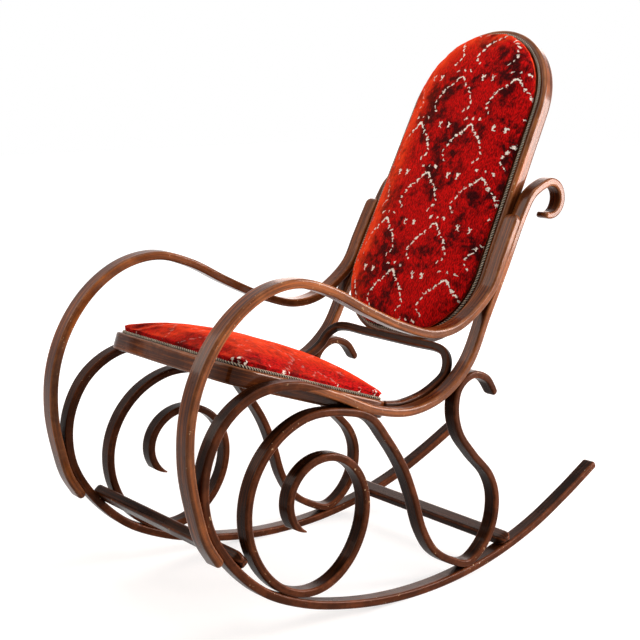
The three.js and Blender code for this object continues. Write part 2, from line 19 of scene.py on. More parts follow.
import bmesh
import bpy
from bmesh.types import BMEdge, BMesh, BMVert
from mathutils import Matrix, Vector

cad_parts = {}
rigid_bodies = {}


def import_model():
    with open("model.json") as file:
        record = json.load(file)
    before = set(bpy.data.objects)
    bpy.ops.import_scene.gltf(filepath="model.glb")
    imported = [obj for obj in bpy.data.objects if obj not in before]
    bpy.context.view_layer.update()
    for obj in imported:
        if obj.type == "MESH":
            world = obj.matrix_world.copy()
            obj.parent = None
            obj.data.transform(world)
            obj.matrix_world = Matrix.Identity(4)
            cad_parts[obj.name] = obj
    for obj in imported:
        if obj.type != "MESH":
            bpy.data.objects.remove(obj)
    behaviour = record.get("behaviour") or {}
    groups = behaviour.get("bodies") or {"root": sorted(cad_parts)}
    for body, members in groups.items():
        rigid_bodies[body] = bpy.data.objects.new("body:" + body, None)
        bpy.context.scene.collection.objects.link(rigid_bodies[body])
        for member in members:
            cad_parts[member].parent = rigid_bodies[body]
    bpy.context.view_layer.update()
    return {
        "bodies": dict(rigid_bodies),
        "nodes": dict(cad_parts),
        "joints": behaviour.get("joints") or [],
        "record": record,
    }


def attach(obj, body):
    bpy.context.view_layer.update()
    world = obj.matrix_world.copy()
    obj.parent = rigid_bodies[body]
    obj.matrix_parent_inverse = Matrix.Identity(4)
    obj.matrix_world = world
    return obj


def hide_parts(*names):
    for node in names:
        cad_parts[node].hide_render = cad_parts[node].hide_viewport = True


LOG = logging.getLogger("rocking_chair")

BODY = "root"
X_AXIS = Vector((1, 0, 0))
Z_AXIS = Vector((0, 0, 1))
# Places that lie closer than this are one.
WELD = 1e-6

# The length that the chair's places follow, the gap at a joint, and how far rods are sprung together.
REACH = 1.087
CLEARANCE = 0.0003
SPRING = 0.0004
# Steps from one knot of a line to the next, for seating rods on it and for bending wood along it.
SAMPLES = 12
FINE_SAMPLES = 48

Share = tuple[float, float]
Spot = tuple[float, float]


def linear(hex_colour: str) -> tuple[float, float, float, float]:
    """Turns an sRGB colour into the linear one that shaders use.

    Args:
        hex_colour: six hexadecimal digits.

    Returns:
        Linear red, green and blue, and full opacity.
    """
    values = [int(hex_colour[i : i + 2], 16) / 255 for i in (0, 2, 4)]
    red, green, blue = [v / 12.92 if v <= 0.04045 else ((v + 0.055) / 1.055) ** 2.4 for v in values]
    return red, green, blue, 1.0


# Lines


def place_at(share: Share) -> Vector:
    """Returns the place in a side plane that the shares of the reach give."""
    return Vector((0, share[0] * REACH, share[1] * REACH))


def _segment_place(four: list[Vector], share: float) -> Vector:
    """Finds a place between the middle two of four knots of a centripetal curve.

    Args:
        four: the knots before, at both ends of, and after the segment.
        share: how far along the segment.

    Returns:
        The place.
    """
    spans = [(b - a).length ** 0.5 for a, b in pairwise(four)]
    before, here, after = spans
    start = (four[1] - four[0]) / before - (four[2] - four[0]) / (before + here)
    start = (start + (four[2] - four[1]) / here) * here
    end = (four[2] - four[1]) / here - (four[3] - four[1]) / (here + after)
    end = (end + (four[3] - four[2]) / after) * here
    run = four[2] - four[1]
    square = 3 * run - 2 * start - end
    cube = start + end - 2 * run
    return four[1] + share * (start + share * (square + share * cube))


def curve_through(knots: list[Vector], count: int) -> list[Vector]:
    """Samples a smooth curve through the given knots.

    Args:
        knots: places that the curve passes.
        count: number of steps.

    Returns:
        The places, from the first knot to the last.
    """
    ends = [2 * knots[0] - knots[1], *knots, 2 * knots[-1] - knots[-2]]
    places = []
    for step in range(count + 1):
        reached = (len(knots) - 1) * step / count
        index = min(int(reached), len(knots) - 2)
        places.append(_segment_place(ends[index : index + 4], reached - index))
    return places


def nearest_index(places: list[Vector], point: Vector) -> int:
    """Returns the index of the inner place that lies nearest to a point."""
    return min(range(1, len(places) - 1), key=lambda i: (places[i] - point).length_squared)


def direction_at(places: list[Vector], index: int) -> Vector:
    """Returns the direction of a line at one of its places."""
    return (places[index + 1] - places[index - 1]).normalized()


def seated_beside(places: list[Vector], rough: Vector, distance: float) -> Vector:
    """Finds the place beside a side-plane line at a given distance from it.

    Args:
        places: the line.
        rough: a place near the one looked for, on the side of the line where it lies.
        distance: from the line.

    Returns:
        The place.
    """
    index = nearest_index(places, rough)
    along = direction_at(places, index)
    across = Vector((0, -along.z, along.y))
    if across.dot(rough - places[index]) < 0:
        across.negate()
    return places[index] + across * distance


def seat_distance(thick: float, other: float) -> float:
    """Returns the distance between the middles of two rods that rest on each other."""
    return (thick + other) / 2 + CLEARANCE - SPRING


class CentreLine:
    """A line along which straight wood is bent, with its directions at every place."""

    def __init__(self, places: list[Vector], lateral: Vector, closed: bool = False) -> None:
        """Measures the line and carries the sideways direction along it without twist.

        Args:
            places: closely spaced places.
            lateral: the sideways direction at the first place.
            closed: whether the line runs back into its start.
        """
        self.closed = closed
        self.places = [*places, places[0]] if closed else places
        self.marks = [0.0]
        for here, after in pairwise(self.places):
            self.marks.append(self.marks[-1] + (after - here).length)
        last = len(self.places) - 1
        self.alongs = []
        for i in range(last + 1):
            before = self.places[i - 1] if i else (self.places[last - 1] if closed else self.places[0])
            after = self.places[i + 1] if i < last else (self.places[1] if closed else self.places[last])
            self.alongs.append((after - before).normalized())
        self.laterals = []
        for along in self.alongs:
            lateral = (lateral - along * along.dot(lateral)).normalized()
            self.laterals.append(lateral)

    @property
    def length(self) -> float:
        """Returns the length of the line."""
        return self.marks[-1]

    def directions(self, reached: float) -> Matrix:
        """Finds the place and directions at a distance along the line.

        Args:
            reached: distance from the start. Past an open end the line goes straight on.

        Returns:
            A matrix that takes sideways, through and along to their directions there.
        """
        if self.closed:
            reached %= self.length
        index = min(max(bisect_right(self.marks, reached) - 1, 0), len(self.marks) - 2)
        share = (reached - self.marks[index]) / (self.marks[index + 1] - self.marks[index])
        inner = min(max(share, 0), 1)
        along = self.alongs[index].lerp(self.alongs[index + 1], inner).normalized()
        lateral = self.laterals[index].lerp(self.laterals[index + 1], inner)
        lateral = (lateral - along * along.dot(lateral)).normalized()
        place = self.places[index].lerp(self.places[index + 1], inner)
        place += along * (share - inner) * (self.marks[index + 1] - self.marks[index])
        through = along.cross(lateral)
        turn = Matrix((lateral, through, along)).transposed()
        return Matrix.Translation(place) @ turn.to_4x4()

    def distance_to(self, point: Vector) -> float:
        """Returns the distance along the line of its place nearest to a point."""
        index = min(range(len(self.places)), key=lambda i: (self.places[i] - point).length_squared)
        return self.marks[index]


def side_line(knots: list[Vector]) -> CentreLine:
    """Returns the centre line of a rod that lies in a side plane."""
    return CentreLine(curve_through(knots, len(knots) * FINE_SAMPLES), X_AXIS)


# Straight wood, and its bending


class RodEnd(Enum):
    """Which end of a rod is worked."""

    START = -1
    END = 1


@dataclass(frozen=True)
class Section:
    """Section of a rod: its width across, its thickness and the round of its edges."""

    width: float
    thick: float
    round: float


@dataclass(frozen=True)
class RoundedEnd:
    """Form of a rod's end: how long its rounding is, and how far in it goes across and through.

    Before that the end may be drawn thinner over a taper, to shares of its width and thickness.
    """

    length: float
    across: float
    through: float
    taper: float = 0.0
    width: float = 1.0
    thick: float = 1.0


class StraightRod:
    """A straight length of wood that is cut, rounded and tapered before it is bent."""

    SLICE = 0.005
    NOSE_SLICES = 6
    EDGE_SEGMENTS = 3
    FACE_CUTS = (0.86, 0.74)

    def __init__(self, section: Section, start: float, end: float) -> None:
        """Saws the wood to its section and rounds its long edges.

        Args:
            section: section of the rod.
            start: distance along the centre line where it begins.
            end: distance where it ends.
        """
        self.section = section
        self.start = start
        self.end = end
        self.bm = bmesh.new()
        self.grain = self.bm.verts.layers.float_vector.new("grain")
        # The 'worn' share holds edge wear, plus painted light on the narrow sides of the frame rods.
        self.worn = self.bm.verts.layers.float.new("worn")
        bmesh.ops.create_cube(self.bm, size=1)
        bmesh.ops.scale(self.bm, vec=(section.width, section.thick, end - start), verts=self.bm.verts)
        bmesh.ops.translate(self.bm, vec=(0, 0, (start + end) / 2), verts=self.bm.verts)
        long_edges = [e for e in self.bm.edges if abs(e.verts[0].co.z - e.verts[1].co.z) > WELD]
        bmesh.ops.bevel(
            self.bm,
            geom=long_edges,
            offset=section.round,
            affect="EDGES",
            segments=self.EDGE_SEGMENTS,
            profile=0.5,
            material=-1,
        )
        at_x = (section.width / 2 - section.round) * self.FACE_CUTS[0]
        at_y = (section.thick / 2 - section.round) * self.FACE_CUTS[1]
        for sign in (1, -1):
            self._cut((sign * at_x, 0, 0), (1, 0, 0))
        for sign in (1, -1):
            self._cut((0, sign * at_y, 0), (0, 1, 0))

    def _cut(self, place: tuple, normal: tuple, **options: bool) -> list:
        """Cuts the whole rod with a plane.

        Args:
            place: a place on the plane.
            normal: direction square to it.
            options: which side is cleared.

        Returns:
            The edges and vertices that the plane meets.
        """
        geom = [*self.bm.verts, *self.bm.edges, *self.bm.faces]
        cut = bmesh.ops.bisect_plane(
            self.bm, geom=geom, dist=WELD, plane_co=place, plane_no=normal, **options
        )
        return cut["geom_cut"]

    def _saw_off(self, place: Vector, normal: Vector) -> None:
        """Saws off what lies beyond a plane and closes the end.

        Args:
            place: a place on the plane.
            normal: direction of what falls off.
        """
        met = self._cut(tuple(place), tuple(normal), clear_outer=True)
        edges = [e for e in met if isinstance(e, BMEdge)]
        bmesh.ops.holes_fill(self.bm, edges=edges, sides=0)

    def scarf(self, at: float, lap: float, end: RodEnd) -> None:
        """Saws an oblique face on which another rod is glued.

        Args:
            at: distance along the centre line of the joint's middle.
            lap: length of the joint.
            end: which end of this rod is cut.
        """
        tilt = math.atan2(self.section.thick, lap)
        normal = Vector((0, math.cos(tilt), math.sin(tilt))) * end.value
        self._saw_off(Vector((0, 0, at)) - normal * CLEARANCE / 2, normal)

    def chisel(self, end: RodEnd, length: float, tip: float, face: int) -> None:
        """Saws an end to a thin edge, as a chisel has.

        Args:
            end: which end.
            length: length of the oblique face.
            tip: thickness left at the edge.
            face: 1 or -1, the face that stays whole.
        """
        depth = self.section.thick - tip
        normal = Vector((0, -face * length, end.value * depth)).normalized()
        edge = Vector((0, face * (self.section.thick / 2 - tip), self._tip(end)))
        self._saw_off(edge, normal)

    def _slice(self, ends: dict[RodEnd, RoundedEnd]) -> None:
        """Cuts the rod across at even steps, and more finely where its ends are rounded.

        Args:
            ends: the ends that are rounded, with their forms.
        """
        count = math.ceil((self.end - self.start) / self.SLICE)
        step = (self.end - self.start) / count
        stations = {round(self.start + step * i, 6) for i in range(1, count)}
        for end, form in ends.items():
            tip = self._tip(end)
            root = tip - end.value * form.length
            stations = {s for s in stations if not min(tip, root) < s < max(tip, root)}
            for i in range(self.NOSE_SLICES):
                share = math.sin(math.pi / 2 * i / self.NOSE_SLICES)
                stations.add(round(root + (tip - root) * share, 6))
        ahead = set(self.bm.faces)
        for station in sorted(stations):
            edges = {e for f in ahead for e in f.edges}
            verts = {v for e in edges for v in e.verts}
            cut = bmesh.ops.bisect_plane(
                self.bm,
                geom=[*verts, *edges, *ahead],
                dist=WELD,
                plane_co=(0, 0, station),
                plane_no=Z_AXIS,
            )
            met = {e for e in cut["geom_cut"] if isinstance(e, BMEdge)}
            reached = ahead | {f for e in met for f in e.link_faces}
            ahead = {f for f in reached if f.is_valid and max(v.co.z for v in f.verts) > station + WELD}

    def _mark_wood(self, shift: float, flank: float) -> None:
        """Keeps each vertex's place in the straight wood, how worn it is, and the light painted on the rod's
        sides.

        Args:
            shift: distance that sets this rod's grain apart from the others'.
            flank: painted light on its two sides, as a share of the wear of its edges.
        """
        half_x = self.section.width / 2 - self.section.round
        half_y = self.section.thick / 2 - self.section.round
        for vert in self.bm.verts:
            vert[self.grain] = Vector((vert.co.x + shift, vert.co.y - shift, vert.co.z + shift))
            proud = min(abs(vert.co.x) - half_x, abs(vert.co.y) - half_y)
            # The two narrow sides get at least the flank share: painted light that makes them look lit, not
            # wear.
            least = flank if abs(vert.co.x) > half_x - WELD else 0
            vert[self.worn] = min(max(proud / (self.section.round * 0.5), least), 1)

    def _tip(self, end: RodEnd) -> float:
        """Returns the distance along the centre line where an end of the rod lies."""
        return self.end if end is RodEnd.END else self.start

    def _end_share(self, vert: BMVert, end: RodEnd, length: float) -> float:
        """Returns how far a vertex lies into the last stretch of an end, from 0 to 1."""
        return max(1 - end.value * (self._tip(end) - vert.co.z) / length, 0)

    def _work_end(self, end: RodEnd, form: RoundedEnd) -> None:
        """Draws an end thinner where its form says so, and rounds it off.

        Args:
            end: which end.
            form: its form.
        """
        for vert in self.bm.verts:
            if form.taper:
                share = self._end_share(vert, end, form.taper)
                ease = share * share * (3 - 2 * share)
                vert.co.x *= 1 - (1 - form.width) * ease
                vert.co.y *= 1 - (1 - form.thick) * ease
            share = min(self._end_share(vert, end, form.length), 1)
            inward = 1 - math.sqrt(1 - share * share)
            vert.co.x -= math.copysign(min(form.across * inward, abs(vert.co.x)), vert.co.x)
            vert.co.y -= math.copysign(min(form.through * inward, abs(vert.co.y)), vert.co.y)

    def shape(
        self,
        shift: float,
        flank: float = 0.0,
        start: RoundedEnd | None = None,
        end: RoundedEnd | None = None,
    ) -> None:
        """Slices the rod, marks its wood and rounds its ends.

        Args:
            shift: distance that sets this rod's grain apart from the others'.
            flank: painted light on its two sides, as a share of the wear of its edges.
            start: form of its first end, if that is rounded.
            end: form of its last end, if that is rounded.
        """
        ends = {which: form for which, form in zip(RodEnd, (start, end)) if form}
        self._slice(ends)
        self._mark_wood(shift, flank)
        for which, form in ends.items():
            self._work_end(which, form)

    def bend(self, line: CentreLine) -> None:
        """Bends the rod.

        Args:
            line: the centre line.
        """
        stations: dict[float, Matrix] = {}
        for vert in self.bm.verts:
            mark = round(vert.co.z, 6)
            if mark not in stations:
                stations[mark] = line.directions(mark)
            vert.co = stations[mark] @ Vector((vert.co.x, vert.co.y, 0))

    def piece(self, name: str, place: Matrix, on_floor: bool = False) -> bpy.types.Object:
        """Makes the rod an object of the chair.

        Args:
            name: name of the piece.
            place: matrix from the centre line's space to the chair's.
            on_floor: whether it is worn flat where it stands on the floor.

        Returns:
            The object.
        """
        bmesh.ops.transform(self.bm, matrix=place, verts=self.bm.verts)
        if on_floor:
            self._saw_off(Vector(), -Z_AXIS)
        return finished_piece(name, self.bm)


def finished_piece(name: str, bm: BMesh, sharp: float = 40) -> bpy.types.Object:
    """Makes an object from a finished bmesh.

    Args:
        name: name of the piece.
        bm: its shape, in the chair's space. It is freed.
        sharp: angle in degrees above which an edge stays crisp.

    Returns:
        The object, linked to the scene.
    """
    bmesh.ops.recalc_face_normals(bm, faces=bm.faces)
    limit = math.radians(sharp)
    for face in bm.faces:
        face.smooth = True
    for edge in bm.edges:
        edge.smooth = edge.calc_face_angle(0) < limit
    mesh = bpy.data.meshes.new(name)
    bm.to_mesh(mesh)
    bm.free()
    piece = bpy.data.objects.new(name, mesh)
    bpy.context.scene.collection.objects.link(piece)
    return piece


# Finishes

# Settings that many nodes share.
SMOOTH = {"interpolation_type": "SMOOTHSTEP"}
COLOURS = {"data_type": "RGBA"}
Value = object


def cells(size: float) -> int:
    """Returns how many repeats a metre holds of a pattern whose size is in millimetres."""
    return round(1000 / size)


class ShaderTree:
    """The nodes of one material or of the world."""

    def __init__(self, owner: bpy.types.Material | bpy.types.World) -> None:
        """Starts from the one shader that its owner comes with.

        Args:
            owner: the material or the world.
        """
        owner.use_nodes = True
        self.owner = owner
        self.tree = owner.node_tree
        self.shader = next(node for node in self.tree.nodes if node.outputs)

    def add(self, kind: str, *values: Value, **named: Value) -> bpy.types.Node:
        """Adds a node with its settings and links.

        Args:
            kind: identifier of the node's type, without its prefix.
            values: values, sockets or nodes for the first inputs that it uses.
            named: its settings in lower case, and the same for inputs by their names.

        Returns:
            The node.
        """
        node = self.tree.nodes.new(f"ShaderNode{kind}")
        for key in filter(str.islower, named):
            setattr(node, key, named[key])
        used = [socket for socket in node.inputs if socket.enabled]
        for socket, value in zip(used[: len(values)], values, strict=True):
            self.join(socket, value)
        for key, value in named.items():
            if not key.islower():
                self.join(node.inputs[key.replace("_", " ")], value)
        return node

    def join(self, socket: bpy.types.NodeSocket, value: Value) -> None:
        """Sets an input or links it.

        Args:
            socket: the input.
            value: a value, another socket, or a node whose first output in use is meant.
        """
        if isinstance(value, bpy.types.Node):
            value = next(output for output in value.outputs if output.enabled)
        if isinstance(value, bpy.types.NodeSocket):
            self.tree.links.new(value, socket)
        else:
            socket.default_value = value

    def finish(self, **values: Value) -> bpy.types.Material | bpy.types.World:
        """Sets the shader's sockets and returns the owner."""
        for key, value in values.items():
            self.join(self.shader.inputs[key.replace("_", " ")], value)
        return self.owner


@dataclass(frozen=True)
class BentBeech:
    """Steam-bent beech, stained dark and varnished, with its varnish worn thin by hands.

    The stain lies unevenly in the grain, so lit faces turn warm brown with darker streaks, while
    the rounded edges show worn places and a few pale chips where bare beech comes through. Their
    paler colour also stands in for glints along the edges, as a painted highlight, and is painted
    onto the narrow sides of the frame rods as painted light.
    Sizes are in millimetres. The pores are drawn coarser than life, so that they still show.
    """

    name: str = "steam_bent_stained_beech"
    deep: str = "140803"
    stain: str = "3e1b0a"
    warm: str = "9a511f"
    # Paler colour of worn edges. It also serves as painted glints along them and as painted light on the
    # frame rods' sides.
    rubbed_and_lit: str = "b87440"
    bare: str = "dcbc90"
    streak_size: tuple[float, float] = (3.85, 200)
    pore_size: tuple[float, float] = (0.7143, 29.4)
    patch_size: float = 91
    rub_size: float = 35.7
    chip_size: float = 6.67
    gloss: float = 0.2
    rough: float = 0.4
    # How far that paler colour is mixed in, for wear and painted light alike.
    rubbing_and_light: float = 0.42
    specular: float = 0.1
    shine: str = "e8a684"
    varnish: float = 0.22
    varnish_rough: float = 0.1

    def material(self) -> bpy.types.Material:
        """Makes the material and returns it."""
        tree = ShaderTree(bpy.data.materials.new(self.name))
        wood = tree.add("Attribute", attribute_name="grain").outputs["Vector"]
        worn = tree.add("Attribute", attribute_name="worn").outputs["Fac"]
        drawn_out = []
        for across, along in (self.streak_size, self.pore_size):
            scale = (cells(across), cells(across), cells(along))
            drawn_out.append(tree.add("Mapping", Vector=wood, Scale=scale))
        streak = tree.add("TexNoise", Vector=drawn_out[0], Scale=1.0, Detail=5.0, Roughness=0.62)
        pore = tree.add("TexNoise", Vector=drawn_out[1], Scale=1.0, Detail=2.0)
        cloud = tree.add("TexNoise", Vector=wood, Scale=cells(self.patch_size), Detail=4.0, Roughness=0.6)

        tone = tree.add("Math", streak, 0.6, operation="MULTIPLY")
        tone = tree.add("Math", cloud, 0.9, tone, operation="MULTIPLY_ADD")
        lit = tree.add("MapRange", tone, 0.5, 1.02, **SMOOTH)
        body = tree.add("Mix", lit, linear(self.deep), linear(self.warm), **COLOURS)
        lit = tree.add("MapRange", streak, 0.36, 0.7, **SMOOTH)
        body = tree.add("Mix", lit, linear(self.stain), body, **COLOURS)
        pores = tree.add("MapRange", pore, 0.3, 0.42, 0.55, 1, **SMOOTH)
        body = tree.add("VectorMath", body, pores, operation="SCALE")

        # Paler colour by the 'worn' share: wear on the rounded edges, also standing in for glints along
        # them, and painted light on the frame rods' sides.
        rub_and_light = tree.add("TexNoise", Vector=wood, Scale=cells(self.rub_size), Detail=5.0, Roughness=0.7)
        rub_and_light = tree.add("MapRange", rub_and_light, 0.42, 0.68, 0.4, 1, **SMOOTH)
        rub_and_light = tree.add("Math", worn, rub_and_light, operation="MULTIPLY")
        rub_and_light = tree.add("Math", rub_and_light, self.rubbing_and_light, operation="MULTIPLY")
        body = tree.add("Mix", rub_and_light, body, linear(self.rubbed_and_lit), **COLOURS)

        chip = tree.add("TexNoise", Vector=wood, Scale=cells(self.chip_size), Detail=3.0, Roughness=0.6)
        chip = tree.add("MapRange", chip, 0.655, 0.69, **SMOOTH)
        for spread, low, high in ((worn, 0.25, 0.95), (cloud, 0.5, 0.62)):
            share = tree.add("MapRange", spread, low, high, **SMOOTH)
            chip = tree.add("Math", chip, share, operation="MULTIPLY")
        body = tree.add("Mix", chip, body, linear(self.bare), **COLOURS)

        height = tree.add("Math", streak, 0.4, operation="MULTIPLY")
        height = tree.add("Math", height, pores, operation="ADD")
        depth = tree.add("Math", chip, 1.5, operation="MULTIPLY")
        height = tree.add("Math", height, depth, operation="SUBTRACT")
        return tree.finish(
            Base_Color=body,
            Roughness=tree.add("MapRange", cloud, 0.3, 0.7, self.gloss, self.rough, **SMOOTH),
            Normal=tree.add("Bump", Strength=0.22, Distance=0.0004, Height=height),
            Coat_Weight=self.varnish,
            Coat_Roughness=self.varnish_rough,
            IOR=1.5,
            Specular_IOR_Level=self.specular,
            Specular_Tint=linear(self.shine),
        )


@dataclass(frozen=True)
class BackBoard:
    """Thin stained board with the grain across, behind the stuffing of the back.

    Its streaks are long and fine, so it reads as sawn wood. Sizes are in millimetres.
    """

    name: str = "stained_back_board"
    deep: str = "2a150d"
    warm: str = "5e3019"
    streak_size: tuple[float, float] = (7.7, 167)

    def material(self) -> bpy.types.Material:
        """Makes the material and returns it."""
        tree = ShaderTree(bpy.data.materials.new(self.name))
        place = tree.add("TexCoord").outputs["Object"]
        across, along = [cells(size) for size in self.streak_size]
        stretched = tree.add("Mapping", Vector=place, Scale=(along, across, across))
        streak = tree.add("TexNoise", Vector=stretched, Scale=1.0, Detail=6.0, Roughness=0.65)
        tone = tree.add("MapRange", streak, 0.32, 0.7, **SMOOTH)
        return tree.finish(
            Base_Color=tree.add("Mix", tone, linear(self.deep), linear(self.warm), **COLOURS),
            Roughness=tree.add("MapRange", streak, 0.3, 0.7, 0.55, 0.4, **SMOOTH),
            Normal=tree.add("Bump", Strength=0.25, Distance=0.0005, Height=streak),
        )


@dataclass(frozen=True)
class LiningCloth:
    """Dark plain-woven lining under the seat, matt and a little dusty.

    Its threads are drawn coarser than life at 3 mm, so that they show. Sizes are in millimetres.
    """

    name: str = "woven_bottom_lining"
    dark: str = "17120f"
    light: str = "3a302a"
    thread: float = 3
    dust_size: float = 33

    def material(self) -> bpy.types.Material:
        """Makes the material and returns it."""
        tree = ShaderTree(bpy.data.materials.new(self.name))
        place = tree.add("TexCoord").outputs["Object"]
        parts = tree.add("SeparateXYZ", place)
        waves = []
        for axis in "XY":
            turn = tree.add("Math", parts.outputs[axis], math.pi * 1000 / self.thread, operation="MULTIPLY")
            waves.append(tree.add("Math", turn, operation="SINE"))
        weave = tree.add("Math", *waves, operation="MULTIPLY")
        weave = tree.add("MapRange", weave, -1, 1, **SMOOTH)
        dust = tree.add("TexNoise", Vector=place, Scale=cells(self.dust_size), Detail=4.0)
        dust = tree.add("MapRange", dust, 0.3, 0.7, 0.4, 1, **SMOOTH)
        tone = tree.add("Math", weave, dust, operation="MULTIPLY")
        return tree.finish(
            Base_Color=tree.add("Mix", tone, linear(self.dark), linear(self.light), **COLOURS),
            Roughness=0.95,
            Normal=tree.add("Bump", Strength=0.5, Distance=0.0006, Height=weave),
        )


@dataclass(frozen=True)
class GimpCord:
    """Twisted grey-beige cord that covers the tacks, soiled in random stretches.

    The strands are pale where they stand proud and painted almost black between them, a painted
    shade in the grooves. Sizes are in millimetres. Its fibres are drawn coarser than life, so that
    they show.
    """

    name: str = "twisted_gimp_cord"
    groove: str = "0d0806"
    strand: str = "94836a"
    bright: str = "e2d6be"
    fibre_size: float = 1.111
    wear_size: float = 45.5

    def material(self) -> bpy.types.Material:
        """Makes the material and returns it."""
        tree = ShaderTree(bpy.data.materials.new(self.name))
        lay = tree.add("Attribute", attribute_name="grain").outputs["Vector"]
        proud = tree.add("Attribute", attribute_name="worn").outputs["Fac"]
        fibre = tree.add("TexNoise", Vector=lay, Scale=cells(self.fibre_size), Detail=2.0)
        wear = tree.add("TexNoise", Vector=lay, Scale=cells(self.wear_size), Detail=3.0)
        share = tree.add("MapRange", fibre, 0.3, 0.7, **SMOOTH)
        body = tree.add("Mix", share, linear(self.strand), linear(self.bright), **COLOURS)
        share = tree.add("MapRange", wear, 0.35, 0.75, 0, 0.55, **SMOOTH)
        body = tree.add("Mix", share, body, linear(self.groove), **COLOURS)
        # Painted shade: the groove colour fills the hollows between the strands, by how proud each point
        # stands.
        share = tree.add("MapRange", proud, 0.42, 0.95, **SMOOTH)
        body = tree.add("Mix", share, linear(self.groove), body, **COLOURS)
        return tree.finish(Base_Color=body, Roughness=0.8, Sheen_Weight=0.15)


@dataclass(frozen=True)
class CutVelvet:
    """Crimson cut velvet with a half-drop lattice of cream dashes, a common upholstery pattern.

    The pile is painted orange-red where it is seen along the surface, as a painted sheen, turns almost
    black where it has been brushed the other way, and the cream ground shows in short strokes where
    no pile is woven.
    Noise sizes are in millimetres. The tufts are drawn coarser than life, so that they show.
    """

    name: str
    shift: tuple[float, float] = (0.0, 0.0)
    brushing: float = 1.0
    sheen_from: float = 0.3
    hidden: tuple[float, float] = (0.5, 0.76)
    pile: str = "bc0809"
    brushed: str = "360003"
    # Colour of the painted sheen, mixed into the pile where the cloth is seen along its surface.
    glow: str = "f7441a"
    haze: str = "ff5a30"
    ground: str = "fff6ea"
    across: float = 0.149
    rows: float = 0.2195
    peaks: tuple[Spot, Spot] = ((-0.023, 0.408), (0.0515, 0.299))
    swing: float = 0.014
    sway_size: float = 6.67
    thread_size: float = 2.38
    lost_size: float = 29.4
    nap_size: float = 71
    patch_size: float = 14.3
    tuft_size: tuple[float, float, float] = (2.325, 6.67, 5)
    strokes: tuple[tuple[Spot, Spot, float], ...] = (
        ((0.0, 0.003), (0.0065, -0.001), 0.0018),
        ((0.0065, -0.001), (0.0115, -0.0085), 0.0016),
        ((0.0175, -0.014), (0.0205, -0.016), 0.0017),
        ((0.0205, -0.016), (0.019, -0.020), 0.0013),
        ((0.027, -0.023), (0.0315, -0.0245), 0.0015),
        ((0.036, -0.0305), (0.0385, -0.0345), 0.0018),
        ((0.0385, -0.0345), (0.042, -0.0345), 0.0012),
        ((0.043, -0.0425), (0.0455, -0.047), 0.0016),
        ((0.0505, -0.0545), (0.0525, -0.0585), 0.0015),
        ((0.051, -0.0675), (0.048, -0.0705), 0.0014),
        ((0.0415, -0.0755), (0.0395, -0.0795), 0.0012),
        ((0.016, 0.017), (0.0205, 0.0145), 0.0014),
        ((0.0, 0.0165), (0.0, 0.018), 0.0015),
        ((0.058, 0.004), (0.061, 0.0), 0.0014),
        ((0.0645, 0.0045), (0.061, 0.0), 0.0014),
        ((0.061, 0.0), (0.0605, -0.0045), 0.0015),
        ((0.0605, -0.0045), (0.064, -0.006), 0.0011),
    )

    def _stroke(self, tree: ShaderTree, at: tuple, start: Spot, end: Spot, half: float) -> bpy.types.Node:
        """Draws one short stroke of the ground.

        Args:
            tree: the material's nodes.
            at: the two coordinates in the pattern's repeat.
            start: first end of the stroke.
            end: its other end.
            half: half of its width.

        Returns:
            1 inside the stroke and 0 outside it.
        """
        run = Vector(end) - Vector(start)
        u, v = [tree.add("Math", place, low, operation="SUBTRACT") for place, low in zip(at, start)]
        share = tree.add("Math", v, run.y, operation="MULTIPLY")
        share = tree.add("Math", u, run.x, share, operation="MULTIPLY_ADD")
        share = tree.add("Math", share, run.length_squared, operation="DIVIDE")
        share = tree.add("Clamp", share)
        steps = [tree.add("Math", share, part, operation="MULTIPLY") for part in run]
        u = tree.add("Math", u, steps[0], operation="SUBTRACT")
        v = tree.add("Math", v, steps[1], operation="SUBTRACT")
        squares = tree.add("Math", v, v, operation="MULTIPLY")
        squares = tree.add("Math", u, u, squares, operation="MULTIPLY_ADD")
        away = tree.add("Math", squares, operation="SQRT")
        return tree.add("MapRange", away, half * 1.55, half * 0.85, **SMOOTH)

    def _figure(self, tree: ShaderTree, place: bpy.types.Node) -> bpy.types.Node:
        """Draws the pattern: peaks, their crowns and the two branches below each.

        Args:
            tree: the material's nodes.
            place: places on the laid cloth.

        Returns:
            1 on the strokes and 0 beside them.
        """
        parts = tree.add("SeparateXYZ", place)
        drawn = []
        for peak in self.peaks:
            u, v = [
                tree.add("Math", parts.outputs[axis], self.swing / 2 + shift + at, operation="SUBTRACT")
                for axis, shift, at in zip("XY", self.shift, peak)
            ]
            side = tree.add("Math", u, self.across / 2, operation="PINGPONG")
            up = tree.add("Math", v, self.rows / 2, -self.rows / 2, operation="WRAP")
            drawn += [self._stroke(tree, (side, up), *stroke) for stroke in self.strokes]
        whole = drawn[0]
        for stroke in drawn[1:]:
            whole = tree.add("Math", whole, stroke, operation="MAXIMUM")
        return whole

    def _shown(self, tree: ShaderTree, laid: bpy.types.Node, figure: bpy.types.Node) -> bpy.types.Node:
        """Lets pile lie over parts of the figure, and hide it where it is seen along the cloth.

        Args:
            tree: the material's nodes.
            laid: places on the cloth.
            figure: 1 on the pattern's strokes and 0 beside them.

        Returns:
            The share of the ground that is seen.
        """
        thread = tree.add("TexNoise", Vector=laid, Scale=cells(self.thread_size), Detail=2.0)
        lost = tree.add("TexNoise", Vector=laid, Scale=cells(self.lost_size), Detail=2.0)
        cover = tree.add("Math", lost, thread, operation="ADD")
        cover = tree.add("MapRange", cover, 0.66, 0.9, 0.55, 1, **SMOOTH)
        figure = tree.add("Math", figure, cover, operation="MULTIPLY")
        seen_flat = tree.add("LayerWeight", Blend=0.5).outputs["Facing"]
        seen_flat = tree.add("MapRange", seen_flat, *self.hidden, 1, 0.1, **SMOOTH)
        return tree.add("Math", figure, seen_flat, operation="MULTIPLY")

